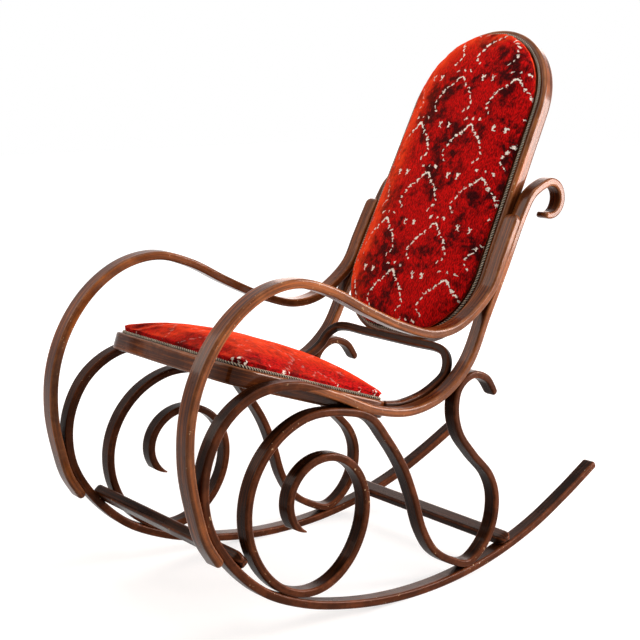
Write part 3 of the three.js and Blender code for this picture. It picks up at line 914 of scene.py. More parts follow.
    def material(self, plane: Matrix) -> bpy.types.Material:
        """Makes the material for cloth that lies on a plane.

        Args:
            plane: matrix from the cloth's plane to the chair.

        Returns:
            The material.
        """
        tree = ShaderTree(bpy.data.materials.new(self.name))
        place = tree.add("TexCoord").outputs["Object"]
        laid = (tuple(plane.translation), tuple(plane.to_euler()))
        laid = tree.add("Mapping", place, *laid, vector_type="TEXTURE")
        sway = tree.add("TexNoise", Vector=laid, Scale=cells(self.sway_size), Detail=3.0).outputs["Color"]
        swung = tree.add("VectorMath", sway, (self.swing, self.swing, 0), laid, operation="MULTIPLY_ADD")
        figure = self._shown(tree, laid, self._figure(tree, swung))

        size = tuple(cells(part) for part in self.tuft_size)
        tufts = tree.add("Mapping", Vector=laid, Scale=size, Rotation=(0, 0, 0.5))
        tuft = tree.add("TexNoise", Vector=tufts, Scale=1.0, Detail=3.0, Roughness=0.65)
        nap = tree.add("TexNoise", Vector=laid, Scale=cells(self.nap_size), Detail=5.0, Roughness=0.62)
        patch = tree.add("TexNoise", Vector=laid, Scale=cells(self.patch_size), Detail=4.0, Roughness=0.6)
        lie = tree.add("Math", patch, 0.35, operation="MULTIPLY")
        lie = tree.add("Math", nap, 0.65, lie, operation="MULTIPLY_ADD")

        tone = tree.add("MapRange", lie, 0.41, 0.545, **SMOOTH)
        tone = tree.add("Math", tone, 1.0, operation="SUBTRACT")
        tone = tree.add("Math", tone, self.brushing, 1.0, operation="MULTIPLY_ADD")
        body = tree.add("Mix", tone, linear(self.brushed), linear(self.pile), **COLOURS)
        streak = tree.add("MapRange", tuft, 0.34, 0.64, 0.3, 1.45, **SMOOTH)
        body = tree.add("VectorMath", body, streak, operation="SCALE")
        # Painted sheen: the glow colour is mixed into the base colour where the cloth is seen along its
        # surface.
        facing = tree.add("LayerWeight", Blend=0.42).outputs["Facing"]
        facing = tree.add("MapRange", facing, self.sheen_from, self.sheen_from + 0.36, **SMOOTH)
        lifted = tree.add("MapRange", lie, 0.38, 0.6, 0.35, 0.95, **SMOOTH)
        sheen = tree.add("Math", facing, lifted, operation="MULTIPLY")
        body = tree.add("Mix", sheen, body, linear(self.glow), **COLOURS)
        body = tree.add("Mix", figure, body, linear(self.ground), **COLOURS)

        sunk = tree.add("Math", figure, 0.8, operation="MULTIPLY")
        height = tree.add("Math", tuft, sunk, operation="SUBTRACT")
        return tree.finish(
            Base_Color=body,
            Roughness=0.9,
            Normal=tree.add("Bump", Strength=0.9, Distance=0.0024, Height=height),
            Sheen_Weight=0.2,
            Sheen_Roughness=0.35,
            Sheen_Tint=linear(self.haze),
            Specular_IOR_Level=0.08,
        )


# Side frames


@dataclass
class SideFrames:
    """Both side frames: upright, rocker, scroll and arm, each a mirror image of the other."""

    finish: bpy.types.Material
    # A darker copy of the finish, as painted shade on the rockers and scrolls.
    shaded_finish: bpy.types.Material
    # Painted light on the narrow sides of the frame rods, as a share of their edge wear.
    flank_light: float = 0.6
    inner_half: float = 0.2077
    lean: float = math.radians(0.985)
    toe_in: float = math.radians(1.28)
    rod: Section = Section(0.0304, 0.0164, 0.004)
    scroll: Section = Section(0.0304, 0.015, 0.004)
    arm: Section = Section(0.034, 0.017, 0.004)
    rocker_radius: float = 0.922
    scarf: float = 0.064
    spare: float = 0.012
    flat_depth: float = 0.0012
    grain_shifts: tuple[float, ...] = (3.1, 5.3, 7.7, 11.9, 13.3)

    hook_centre: Share = (0.3405, 0.6835)
    hook_radius: float = 0.0315
    hook_angles: tuple[float, float, float] = (-121, 112, 29.1)
    hook_end: RoundedEnd = RoundedEnd(0.009, 0.008, 0.0054, taper=0.07, width=0.94, thick=0.74)
    upright: tuple[Share, ...] = (
        (0.291, 0.694),
        (0.266, 0.66),
        (0.219, 0.572),
        (0.171, 0.485),
        (0.126, 0.404),
    )
    rail: tuple[Share, ...] = (
        (0.0635, 0.357),
        (-0.0165, 0.34),
        (-0.102, 0.356),
        (-0.193, 0.3965),
        (-0.279, 0.427),
    )
    loop: tuple[Share, ...] = (
        (-0.359, 0.424),
        (-0.421, 0.3855),
        (-0.456, 0.317),
        (-0.4545, 0.239),
        (-0.417, 0.168),
    )
    rocker: tuple[float, ...] = (-0.3495, -0.2685, -0.1775, -0.08, 0.019, 0.118, 0.216, 0.312, 0.405)
    rocker_rest: float = 0.022
    rocker_toe: float = 0.0075
    rocker_tail: Share = (0.493, 0.1435)
    tail_end: RoundedEnd = RoundedEnd(0.006, 0.003, 0.004)
    frame_splice: Share = (-0.236, 0.412)

    spiral_centre: Share = (-0.2331, 0.2125)
    spiral_radius: tuple[float, float, float] = (0.0421, 0.01793, 0.000506)
    spiral_angles: tuple[float, float, float] = (-131, 496, 15.5)
    spiral_start: float = 0.005
    spiral_edge: tuple[float, float] = (0.028, 0.0025)
    sag_rounds: int = 8
    crest: Share = (-0.178, 0.3665)
    fall: tuple[Share, ...] = ((-0.0775, 0.302), (-0.0385, 0.244), (-0.013, 0.185), (0.009, 0.1195))
    foot_before: tuple[Share, ...] = ((0.0385, 0.0735), (0.0835, 0.043))
    foot_after: tuple[Share, ...] = ((0.1685, 0.0515), (0.194, 0.091))
    limb: tuple[Share, ...] = (
        (0.1995, 0.141),
        (0.183, 0.184),
        (0.138, 0.232),
        (0.102, 0.278),
        (0.0905, 0.3225),
    )
    scroll_tip: tuple[Share, ...] = ((0.132, 0.3805), (0.17, 0.3695), (0.197, 0.334))
    scroll_seats: tuple[Share, Share, Share] = ((-0.112, 0.345), (0.1305, 0.035), (0.101, 0.3615))
    scroll_splice: Share = (-0.0565, 0.273)
    scroll_end: RoundedEnd = RoundedEnd(0.011, 0.009, 0.0058, taper=0.06, width=0.96, thick=0.88)

    arm_heel: tuple[Share, ...] = ((-0.437, 0.168), (-0.46, 0.21), (-0.471, 0.249))
    arm_sweep: tuple[Share, ...] = (
        (-0.4865, 0.329),
        (-0.481, 0.4085),
        (-0.4535, 0.48),
        (-0.4055, 0.54),
        (-0.342, 0.5795),
        (-0.273, 0.5905),
        (-0.2025, 0.5705),
        (-0.1225, 0.529),
        (-0.0395, 0.491),
        (0.0368, 0.469),
        (0.1012, 0.4775),
    )
    arm_end: tuple[Share, ...] = ((0.172, 0.535), (0.208, 0.584), (0.228, 0.62), (0.2475, 0.659))
    heel_end: RoundedEnd = RoundedEnd(0.009, 0.004, 0.007)
    rear_end: RoundedEnd = RoundedEnd(0.014, 0.0095, 0.0078)
    lift: float = 0.0

    def __post_init__(self) -> None:
        """Works out the centre lines and how far the chair is lifted onto the floor."""
        self.frame_knots = self._frame_knots()
        self.frame_places = curve_through(self.frame_knots, len(self.frame_knots) * SAMPLES)
        self.scroll_knots = self._scroll_knots()
        self.arm_knots = self._arm_knots()
        line = side_line(self.frame_knots)
        lowest = min((self.place(1) @ self._under(line, step)).z for step in range(1000))
        self.lift = -(lowest + self.flat_depth)

    def _under(self, line: CentreLine, step: int) -> Vector:
        """Finds a place on the outer lower edge of a frame's rod.

        Args:
            line: the rod's centre line.
            step: thousandths of its length.

        Returns:
            The place, before the chair is lifted.
        """
        spot = line.directions(line.length * step / 1000)
        edge = (self.rod.round - self.rod.width) / 2
        faces = [spot @ Vector((edge, sign * self.rod.thick / 2, 0)) for sign in (1, -1)]
        return min(faces, key=lambda place: place.z)

    def place(self, side: int) -> Matrix:
        """Places a side plane.

        Args:
            side: 1 for the left side and -1 for the right one.

        Returns:
            The matrix from the side plane to the chair's space.
        """
        turn = Matrix.Rotation(side * self.toe_in, 4, "Z") @ Matrix.Rotation(-side * self.lean, 4, "Y")
        shift = Vector((side * (self.inner_half + self.rod.width / 2), 0, self.lift))
        return Matrix.Translation(shift) @ turn

    def inner_half_at(self, back: float, up: float) -> float:
        """Measures the room between the frames.

        Args:
            back: how far back.
            up: how high, before the chair is lifted.

        Returns:
            Half of the room.
        """
        face = (self.place(1).to_3x3() @ X_AXIS).normalized()
        half = self.rod.width / 2
        return self.inner_half + half - (half + face.y * back + face.z * up) / face.x

    def _frame_knots(self) -> list[Vector]:
        """Returns the knots from the hook's tip to the rocker's tail."""
        knots = []
        tip, neck, step = self.hook_angles
        angle = tip
        while angle < neck:
            spoke = Vector((0, math.cos(math.radians(angle)), math.sin(math.radians(angle))))
            knots.append(place_at(self.hook_centre) + spoke * self.hook_radius * REACH)
            angle += step
        knots += [place_at(share) for share in (*self.upright, *self.rail, *self.loop)]
        for i, share in enumerate(self.rocker):
            run = (share - self.rocker_rest) * REACH
            height = self.rod.thick / 2 + self.rocker_radius - math.sqrt(self.rocker_radius**2 - run**2)
            knots.append(Vector((0, share * REACH, height + (self.rocker_toe * REACH if i == 0 else 0))))
        knots.append(place_at(self.rocker_tail))
        return knots

    def _spiral(self, sag: float) -> list[Vector]:
        """Winds the spiral.

        Args:
            sag: how far its lowest place is drawn down.

        Returns:
            The knots, from its inner end.
        """
        knots = []
        start, sweep, step = self.spiral_angles
        radius, growth, easing = self.spiral_radius
        turned = 0.0
        while turned <= sweep:
            arc = math.radians(turned)
            angle = math.radians(start) - arc
            spoke = Vector((0, math.cos(angle), math.sin(angle)))
            knot = place_at(self.spiral_centre) + spoke * (radius + growth * arc - easing * arc**2) * REACH
            knot.z -= sag * min(spoke.z, 0) ** 2
            knots.append(knot)
            turned += step
        return knots

    def _scroll_knots(self) -> list[Vector]:
        """Returns the scroll's knots, with its spiral resting on the rocker."""
        distance = seat_distance(self.scroll.thick, self.rod.thick)
        sag = 0.0
        for _ in range(self.sag_rounds):
            knots = self._spiral(sag)
            places = curve_through(knots, len(knots) * SAMPLES)
            gaps = [(p - self.frame_places[nearest_index(self.frame_places, p)]).length for p in places]
            sag += min(gaps) - distance
        rail, rocker, upright = [
            seated_beside(self.frame_places, place_at(share), distance) for share in self.scroll_seats
        ]
        return [
            *self._spiral(sag),
            place_at(self.crest),
            rail,
            *[place_at(share) for share in (*self.fall, *self.foot_before)],
            rocker,
            *[place_at(share) for share in (*self.foot_after, *self.limb)],
            upright,
            *[place_at(share) for share in self.scroll_tip],
        ]

    def _arm_knots(self) -> list[Vector]:
        """Returns the arm's knots, with both of its ends seated on the frame."""
        distance = seat_distance(self.arm.thick, self.rod.thick)
        heel, end = [
            [seated_beside(self.frame_places, place_at(share), distance) for share in group]
            for group in (self.arm_heel, self.arm_end)
        ]
        return [*heel, *[place_at(share) for share in self.arm_sweep], *end]

    def _spliced(self, section: Section, knots: list[Vector], at: Share, start: float) -> list[StraightRod]:
        """Saws the two lengths of wood that a scarf joint makes one rod.

        Args:
            section: their section.
            knots: knots of their centre line.
            at: place of the joint.
            start: distance along the centre line where the first begins.

        Returns:
            Both.
        """
        line = side_line(knots)
        places = curve_through(knots, len(knots) * SAMPLES)
        splice = line.distance_to(places[nearest_index(places, place_at(at))])
        over = self.scarf / 2 + self.spare
        first = StraightRod(section, start, splice + over)
        first.scarf(splice, self.scarf, RodEnd.END)
        second = StraightRod(section, splice - over, line.length)
        second.scarf(splice, self.scarf, RodEnd.START)
        return [first, second]

    def _bent_rods(self, side: int) -> list[StraightRod]:
        """Bends the rods of one side.

        Args:
            side: 1 for the left side and -1 for the right one.

        Returns:
            The upright, the rocker, the scroll's spiral and loop, and the arm.
        """
        frame, scroll, rest = [side_line(k) for k in (self.frame_knots, self.scroll_knots, self.arm_knots)]
        upright, rocker = self._spliced(self.rod, self.frame_knots, self.frame_splice, 0)
        spiral, loop = self._spliced(self.scroll, self.scroll_knots, self.scroll_splice, self.spiral_start)
        spiral.chisel(RodEnd.START, *self.spiral_edge, face=1)
        rods = [
            (upright, frame, self.hook_end, None),
            (rocker, frame, None, self.tail_end),
            (spiral, scroll, None, None),
            (loop, scroll, None, self.scroll_end),
            (StraightRod(self.arm, 0, rest.length), rest, self.heel_end, self.rear_end),
        ]
        for (rod, line, start, end), shift in zip(rods, self.grain_shifts, strict=True):
            rod.shape(side * shift, self.flank_light, start, end)
            rod.bend(line)
        return [rod for rod, *_ in rods]

    def build(self) -> list[bpy.types.Object]:
        """Makes all ten rods and returns them."""
        parts = (
            ("upright", "upright", self.finish),
            ("rocker", "rocker", self.shaded_finish),
            ("spiral", "scroll_spiral", self.shaded_finish),
            ("scroll", "scroll_loop", self.shaded_finish),
            ("arm", "arm", self.finish),
        )
        made = []
        for side, label in ((1, "left"), (-1, "right")):
            flush = Matrix.Translation((side * (self.arm.width - self.rod.width) / 2, 0, 0))
            for rod, (name, node, finish) in zip(self._bent_rods(side), parts, strict=True):
                place = self.place(side) @ flush if name == "arm" else self.place(side)
                piece = rod.piece(f"{label}_{name}_rod", place, on_floor=name == "rocker")
                settle(piece, f"{label}_{node}", finish)
                made.append(piece)
        return made


def settle(piece: bpy.types.Object, node: str, material: bpy.types.Material) -> None:
    """Finishes a piece, and lets it ride on the chair's body in the place of its node.

    Args:
        piece: the finished object.
        node: the node that it replaces.
        material: its finish.
    """
    piece.data.materials.append(material)
    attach(piece, BODY)
    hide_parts(node)
    LOG.info("%s: %d faces", piece.name, len(piece.data.polygons))


# Outlines of the back and the seat


@dataclass(frozen=True)
class Corner:
    """A corner of an outline and the radius with which it is rounded."""

    point: Vector
    radius: float


@dataclass(frozen=True)
class Outline:
    """A closed outline with rounded corners, in its own plane, run anticlockwise."""

    corners: tuple[Corner, ...]
    step: float = 0.0015

    def _turns(self) -> list[tuple[Corner, Vector, Vector]]:
        """Returns each corner with the directions of the edges that meet there."""
        count = len(self.corners)
        turns = []
        for i, corner in enumerate(self.corners):
            come = (corner.point - self.corners[i - 1].point).normalized()
            leave = (self.corners[(i + 1) % count].point - corner.point).normalized()
            turns.append((corner, come, leave))
        return turns

    def inset(self, inset: float) -> Outline:
        """Moves the outline in from all its edges.

        Args:
            inset: how far each edge moves in.

        Returns:
            The smaller outline.
        """
        moved = []
        for corner, come, leave in self._turns():
            inward = Vector((-come.y - leave.y, come.x + leave.x))
            point = corner.point + inward * inset / (1 + come.dot(leave))
            moved.append(Corner(point, max(corner.radius - inset, 0)))
        return Outline(tuple(moved), self.step)

    def places(self) -> list[Vector]:
        """Returns closely spaced places along the outline, from the middle of its first edge."""
        ends: list[Vector] = []
        for corner, come, leave in self._turns():
            turn = come.angle(leave, 0)
            entry = corner.point - come * corner.radius * math.tan(turn / 2)
            centre = entry + Vector((-come.y, come.x)) * corner.radius
            first = math.atan2(entry.y - centre.y, entry.x - centre.x)
            count = max(math.ceil(corner.radius * turn / self.step), 1)
            for i in range(count + 1):
                angle = first + turn * i / count
                ends.append(centre + corner.radius * Vector((math.cos(angle), math.sin(angle))))
        places: list[Vector] = []
        for here, after in pairwise([*ends, ends[0]]):
            count = max(math.ceil((after - here).length / (3 * self.step)), 1)
            if (after - here).length > WELD * 10:
                places += [here.lerp(after, i / count) for i in range(count)]
        return places

    def line(self, level: float, first: Vector) -> CentreLine:
        """Returns the outline as a closed centre line.

        Args:
            level: height above the outline's plane.
            first: the line starts at its place nearest to this one.

        Returns:
            The line, whose sideways direction stands square to the plane.
        """
        places = self.places()
        start = min(range(len(places)), key=lambda i: (places[i] - first).length_squared)
        ordered = [*places[start:], *places[:start]]
        return CentreLine([Vector((p.x, p.y, level)) for p in ordered], Z_AXIS, closed=True)


def fitted_outline(sides: SideFrames, plane: Matrix, stations: list[tuple[float, float, float]]) -> Outline:
    """Fits an outline between the side frames.

    Args:
        sides: the side frames.
        plane: matrix from the outline's plane to the unlifted chair.
        stations: for each corner how far up the plane it lies, its radius and its bow.

    Returns:
        The outline, without its left and right halves' being different.
    """
    right = []
    for at, radius, bow in stations:
        spot = plane @ Vector((0, at, 0))
        half = sides.inner_half_at(spot.y, spot.z) - CLEARANCE
        right.append(Corner(Vector((half, at + bow)), radius))
    left = [Corner(Vector((-c.point.x, c.point.y)), c.radius) for c in reversed(right)]
    return Outline((*right, *left))


@dataclass
class Upholstery:
    """Velvet over stuffing, and the cord round it, both on one face of a bentwood ring."""

    lay: float = 0.0026
    strand: float = 0.00155
    twist: float = 0.0118
    sides: int = 7
    steps_a_turn: int = 12
    voxel: float = 0.005
    pressure: float = 4.0
    frames: int = 20
    swell: float = 0.006
    start_shares: tuple[float, float, float] = (0.985, 0.985, 0.97)
    tack: float = 0.005
    lowest: float = 0.0003
    smooth_from: float = 0.002
    strand_gap: float = 0.88
    # Range of how proud a point of the cord stands, over which the painted shade of its grooves fades out.
    groove: tuple[float, float] = (0.35, 1.0)

    def cord(self, name: str, outline: Outline, plane: Matrix) -> bpy.types.Object:
        """Lays a two-strand cord along an outline.

        Args:
            name: name of the piece.
            outline: the cord's middle line.
            plane: matrix from the outline's plane to the chair.

        Returns:
            The cord.
        """
        line = outline.line(self.lay, Vector((0, -10)))
        turns = round(line.length / self.twist)
        bm = bmesh.new()
        grain = bm.verts.layers.float_vector.new("grain")
        worn = bm.verts.layers.float.new("worn")
        pitch = line.length / turns
        for half in (1, -1):
            ring = bmesh.ops.create_circle(bm, segments=self.sides, radius=self.strand)["verts"]
            bmesh.ops.translate(bm, verts=ring, vec=(half * self.strand * self.strand_gap, 0, 0))
            bmesh.ops.spin(
                bm,
                geom=[*ring, *{e for v in ring for e in v.link_edges}],
                cent=(0, 0, 0),
                axis=Z_AXIS,
                dvec=(0, 0, pitch / self.steps_a_turn),
                angle=math.tau,
                steps=self.steps_a_turn,
                use_duplicate=False,
            )
        one_turn = [*bm.verts, *bm.edges, *bm.faces]
        for turn in range(1, turns):
            copied = bmesh.ops.duplicate(bm, geom=one_turn)["geom"]
            verts = [v for v in copied if isinstance(v, BMVert)]
            bmesh.ops.translate(bm, verts=verts, vec=(0, 0, turn * pitch))
        # Here the 'worn' attribute holds how proud each point stands, not wear. The cord's finish paints
        # shade in the grooves from it.
        reach = self.strand * (1 + self.strand_gap)
        low, high = self.groove
        for vert in bm.verts:
            off = math.hypot(vert.co.x, vert.co.y)
            vert[grain] = vert.co.copy()
            vert[worn] = min(max((off / reach - low) / (high - low), 0), 1)
            vert.co = line.directions(vert.co.z) @ Vector((vert.co.x, vert.co.y, 0))
        bmesh.ops.remove_doubles(bm, verts=bm.verts, dist=WELD * 10)
        bmesh.ops.transform(bm, matrix=plane, verts=bm.verts)
        return finished_piece(name, bm, sharp=180)

    def cushion(
        self, name: str, node: bpy.types.Object, plane: Matrix, fullness: float, overhang: float
    ) -> bpy.types.Object:
        """Stuffs a cushion: its cover is blown up from a slightly smaller shape.

        Args:
            name: name of the piece.
            node: the node whose form it has.
            plane: matrix from the cushion's foot to the chair.
            fullness: power that its crown follows; a lower one fills its edge more.
            overhang: how far its side stands out over the cord at its foot.

        Returns:
            The cushion.
        """
        bm = bmesh.new()
        bm.from_mesh(node.data)
        bmesh.ops.transform(bm, matrix=node.matrix_world, verts=bm.verts)
        bmesh.ops.remove_doubles(bm, verts=bm.verts, dist=WELD * 10)
        bmesh.ops.transform(bm, matrix=plane.inverted(), verts=bm.verts)
        low, high = [
            Vector((bound(v.co.x for v in bm.verts), bound(v.co.y for v in bm.verts), 0))
            for bound in (min, max)
        ]
        middle = (low + high) / 2
        shrink = Matrix.Translation(middle) @ Matrix.Diagonal(self.start_shares).to_4x4()
        bmesh.ops.transform(bm, matrix=shrink @ Matrix.Translation(-middle), verts=bm.verts)
        top = max(v.co.z for v in bm.verts)
        for vert in bm.verts:
            vert.co.z = top * max(vert.co.z / top, 0) ** fullness
            proud = 1 + overhang / (high.x - middle.x) * min(max(vert.co.z - self.tack, 0) / self.tack, 1)
            vert.co.xy = middle.xy + (vert.co.xy - middle.xy) * proud
        piece = finished_piece(name, bm, sharp=180)
        remesh = piece.modifiers.new("even_weave", "REMESH")
        remesh.mode = "VOXEL"
        remesh.voxel_size = self.voxel
        remesh.use_smooth_shade = True
        self._apply(piece)
        self._swell(piece)
        self._soften(piece)
        piece.data.transform(plane)
        return piece

    def _apply(self, piece: bpy.types.Object) -> None:
        """Replaces a piece's mesh by the one that its modifiers give.

        Args:
            piece: the piece.
        """
        graph = bpy.context.evaluated_depsgraph_get()
        mesh = bpy.data.meshes.new_from_object(piece.evaluated_get(graph), depsgraph=graph)
        piece.modifiers.clear()
        old = piece.data
        piece.data = mesh
        mesh.name = piece.name
        bpy.data.meshes.remove(old)

    def _swell(self, piece: bpy.types.Object) -> None:
        """Blows the cover up, and caps how far each point moves.

        Args:
            piece: the cover, with its foot on the plane.
        """
        rest = [v.co.copy() for v in piece.data.vertices]
        group = piece.vertex_groups.new(name="tacked")
        tacked = [v.index for v in piece.data.vertices if v.co.z < self.tack]
        group.add(tacked, 1.0, "REPLACE")
        cloth = piece.modifiers.new("stuffing", "CLOTH")
        cloth.settings.use_pressure = True
        cloth.settings.uniform_pressure_force = self.pressure
        cloth.settings.effector_weights.gravity = 0
        cloth.settings.vertex_group_mass = "tacked"
        cloth.point_cache.frame_start = 1
        cloth.point_cache.frame_end = self.frames
        scene = bpy.context.scene
        for frame in range(1, self.frames + 1):
            scene.frame_set(frame)
        self._apply(piece)
        scene.frame_set(1)
        for vert, start in zip(piece.data.vertices, rest, strict=True):
            move = vert.co - start
            if move.length > self.swell:
                move *= self.swell / move.length
            vert.co = start + move
            vert.co.z = max(vert.co.z, self.lowest)

    def _soften(self, piece: bpy.types.Object) -> None:
        """Smooths the cover once and gives it a finer mesh.

        Args:
            piece: the cover, with its foot on the plane.
        """
        bm = bmesh.new()
        bm.from_mesh(piece.data)
        upper = [v for v in bm.verts if v.co.z > self.smooth_from]
        bmesh.ops.smooth_vert(bm, verts=upper, factor=0.5, use_axis_x=True, use_axis_y=True, use_axis_z=True)
        bm.to_mesh(piece.data)
        bm.free()
        finer = piece.modifiers.new("finer", "SUBSURF")
        finer.levels = 1
        finer.render_levels = 1
        self._apply(piece)
        piece.data.shade_smooth()


@dataclass
class StuffedRing:
    """A bentwood ring between the side frames, with stuffed velvet and a cord on one face.

    Its plane is tilted from the level about the origin, which is given as back and up. Low and high
    are its corners: how far up the plane each lies, its radius, and how far its edge is bowed.
    """

    sides: SideFrames
    finish: bpy.types.Material
    cord_finish: bpy.types.Material
    label: str
    wood: str
    backing: BackBoard | LiningCloth
    velvet: CutVelvet
    ring: Section
    tilt: float
    origin: Spot
    low: tuple[float, float, float]
    high: tuple[float, float, float]
    joint_at: float
    grain_shift: float
    scarf: float
    fullness: float
    overhang: float
    braid_at: float = 0.0125
    spare: float = 0.01

    def plane(self, lifted: bool = True) -> Matrix:
        """Places the ring's plane.

        Args:
            lifted: whether the chair stands on the floor.

        Returns:
            The matrix from the ring's plane to the chair.
        """
        back, up = self.origin
        place = (0, back, up + (self.sides.lift if lifted else 0))
        return Matrix.Translation(place) @ Matrix.Rotation(self.tilt, 4, "X")

    def outline(self) -> Outline:
        """Returns the ring's outer outline."""
        return fitted_outline(self.sides, self.plane(lifted=False), [self.low, self.high])

    def _bent_ring(self, outline: Outline) -> bpy.types.Object:
        """Bends a rod into the ring, with its ends scarfed onto each other.

        Args:
            outline: its outer outline.

        Returns:
            The ring.
        """
        line = outline.inset(self.ring.thick / 2).line(-self.ring.width / 2, Vector((0, self.joint_at)))
        over = self.scarf / 2 + self.spare
        rod = StraightRod(self.ring, -over, line.length + over)
        rod.scarf(0, self.scarf, RodEnd.START)
        rod.scarf(line.length, self.scarf, RodEnd.END)
        rod.shape(self.grain_shift)
        rod.bend(line)
        return rod.piece(f"{self.wood}_rod", self.plane())

    def build(self, nodes: dict[str, bpy.types.Object]) -> list[bpy.types.Object]:
        """Makes the ring, its cord and its cushion, and dresses the board or cloth behind them.

        Args:
            nodes: the chair's nodes by name.

        Returns:
            The new pieces.
        """
        outline = self.outline()
        plane = self.plane()
        ring = self._bent_ring(outline)
        settle(ring, self.wood, self.finish)
        upholstery = Upholstery()
        cord = upholstery.cord(f"{self.label}_cord", outline.inset(self.braid_at), plane)
        settle(cord, f"{self.label}_trim", self.cord_finish)
        node = f"{self.label}_cushion"
        form = (nodes[node], plane, self.fullness, self.overhang)
        cushion = upholstery.cushion(f"{self.label}_velvet", *form)
        settle(cushion, node, self.velvet.material(plane))
        backing = self.backing.material()
        for slot in nodes[f"{self.label}_panel"].material_slots:
            slot.material = backing
        return [ring, cord, cushion]


@dataclass
class Back(StuffedRing):
    """The back: bentwood hoop, board, stuffed velvet and cord."""

    label: str = "back"
    wood: str = "back_hoop"
    backing: BackBoard = BackBoard()
    velvet: CutVelvet = CutVelvet("cut_velvet_back")
    ring: Section = Section(0.030, 0.025, 0.006)
    tilt: float = math.radians(63.6)
    origin: Spot = (0.203, 0.600)
    low: tuple[float, float, float] = (-0.158, 0.153, 0.0)
    high: tuple[float, float, float] = (0.538, 0.0, 0.0)
    joint_at: float = -10
    grain_shift: float = 17.1
    scarf: float = 0.07
    fullness: float = 0.64
    overhang: float = 0.009
    round: float = 0.008

    def outline(self) -> Outline:
        """Returns the hoop's outer outline, whose crown is one round."""
        rough = super().outline()
        low, high = rough.corners[0].point, rough.corners[1].point
        flare = math.atan2(low.x - high.x, self.high[0] - self.low[0])
        crown = high.x / math.tan(math.pi / 4 - flare / 2) - CLEARANCE
        return Outline(tuple(Corner(c.point, c.radius or crown) for c in rough.corners))


@dataclass
class Seat(StuffedRing):
    """The seat: bentwood ring, lining, stuffed velvet and cord.

    Its velvet is seen along its surface, so its painted sheen is weaker and it hides more of its
    ground. Its pile is painted darker than the back's, as painted shade on the seat.
    """

    label: str = "seat"
    wood: str = "seat_ring"
    backing: LiningCloth = LiningCloth()
    velvet: CutVelvet = CutVelvet(
        "cut_velvet_seat",
        shift=(0.02, 0.03),
        brushing=0.75,
        sheen_from=0.46,
        hidden=(0.3, 0.6),
        # A darker pile than the back's: painted shade on the seat.
        pile="a00507",
    )
    ring: Section = Section(0.033, 0.030, 0.004)
    tilt: float = math.radians(-19)
    origin: Spot = (-0.046, 0.384)
    low: tuple[float, float, float] = (-0.398, 0.052, 0.009)
    high: tuple[float, float, float] = (0.0, 0.034, 0.0)
    joint_at: float = 10
    grain_shift: float = 19.7
    scarf: float = 0.08
    fullness: float = 0.82
    overhang: float = 0.013

    def outline(self) -> Outline:
        """Returns the ring's outer outline, with its bowed front."""
        rough = super().outline()
        front, _, bow = self.low
        bow_radius = rough.corners[0].point.x ** 2 / (4 * bow)
        return Outline((Corner(Vector((0, front)), bow_radius), *rough.corners))


# Brace and stretchers


@dataclass
class Brace:
    """U-shaped rod from the frames beside the seat up to the foot of the hoop."""

    sides: SideFrames
    back: Back
    finish: bpy.types.Material
    rod: Section = Section(0.017, 0.017, 0.0045)
    foot: RoundedEnd = RoundedEnd(0.004, 0.003, 0.003)
    grain_shift: float = 23.9
    rise: float = 0.007
    bend: float = 0.046
    legs: tuple[Share, ...] = ((-0.058, 0.352), (-0.02, 0.35), (0.03, 0.356), (0.062, 0.372), (0.086, 0.392))
    bend_shares: tuple[float, float] = (0.5, 0.87)

    def _knots(self) -> list[Vector]:
        """Returns the knots from the left leg's foot to the right one's."""
        turn = Vector((0, -math.sqrt(0.5), math.sqrt(0.5)))
        corner = Vector((0, self.back.round + self.back.low[0], -self.back.round))
        reach = self.back.round + self.rod.thick / 2 + CLEARANCE - SPRING
        bar = self.back.plane(lifted=False) @ (corner + turn * reach)
        legs = []
        for share in self.legs:
            knot = seated_beside(self.sides.frame_places, place_at(share), self.rise)
            knot.x = self.sides.inner_half_at(knot.y, knot.z) - CLEARANCE - self.rod.thick / 2
            legs.append(knot)
        top = legs[-1]
        for share in self.bend_shares:
            inward = self.bend * (1 - math.sqrt(1 - share**2))
            level = top.lerp(bar, share)
            legs.append(Vector((top.x - inward, level.y, level.z)))
        legs.append(Vector((top.x - self.bend, bar.y, bar.z)))
        legs.append(Vector((legs[-1].x / 2, bar.y, bar.z)))
        return [*legs, *[Vector((-k.x, k.y, k.z)) for k in reversed(legs)]]

    def build(self) -> bpy.types.Object:
        """Makes the brace and returns it."""
        knots = self._knots()
        line = CentreLine(curve_through(knots, len(knots) * FINE_SAMPLES), X_AXIS)
        rod = StraightRod(self.rod, 0, line.length)
        rod.shape(self.grain_shift, start=self.foot, end=self.foot)
        rod.bend(line)
        piece = rod.piece("back_brace_rod", Matrix.Translation((0, 0, self.sides.lift)))
        settle(piece, "back_brace", self.finish)
        return piece


@dataclass
class Stretcher:
    """Flat bar across the chair that lies on both rockers, with rounded ends."""

    sides: SideFrames
    finish: bpy.types.Material
    node: str
    at: Share
    bar: Section
    tip: RoundedEnd = RoundedEnd(0.016, 0.012, 0.0078)
    grain_shift: float = 29.3

    def build(self) -> bpy.types.Object:
        """Makes the bar and returns it."""
        places = self.sides.frame_places
        rough = place_at(self.at)
        index = nearest_index(places, rough)
        middle = seated_beside(places, rough, seat_distance(self.bar.thick, self.sides.rod.thick))
        half = self.sides.inner_half_at(middle.y, middle.z) + self.sides.rod.width
        ends = [Vector((end * half, middle.y, middle.z)) for end in (-1, 1)]
        line = CentreLine(ends, direction_at(places, index))
        rod = StraightRod(self.bar, 0, line.length)
        rod.shape(self.grain_shift, start=self.tip, end=self.tip)
        rod.bend(line)
        piece = rod.piece(f"{self.node}_bar", Matrix.Translation((0, 0, self.sides.lift)))
        settle(piece, self.node, self.finish)
        return piece


# Studio


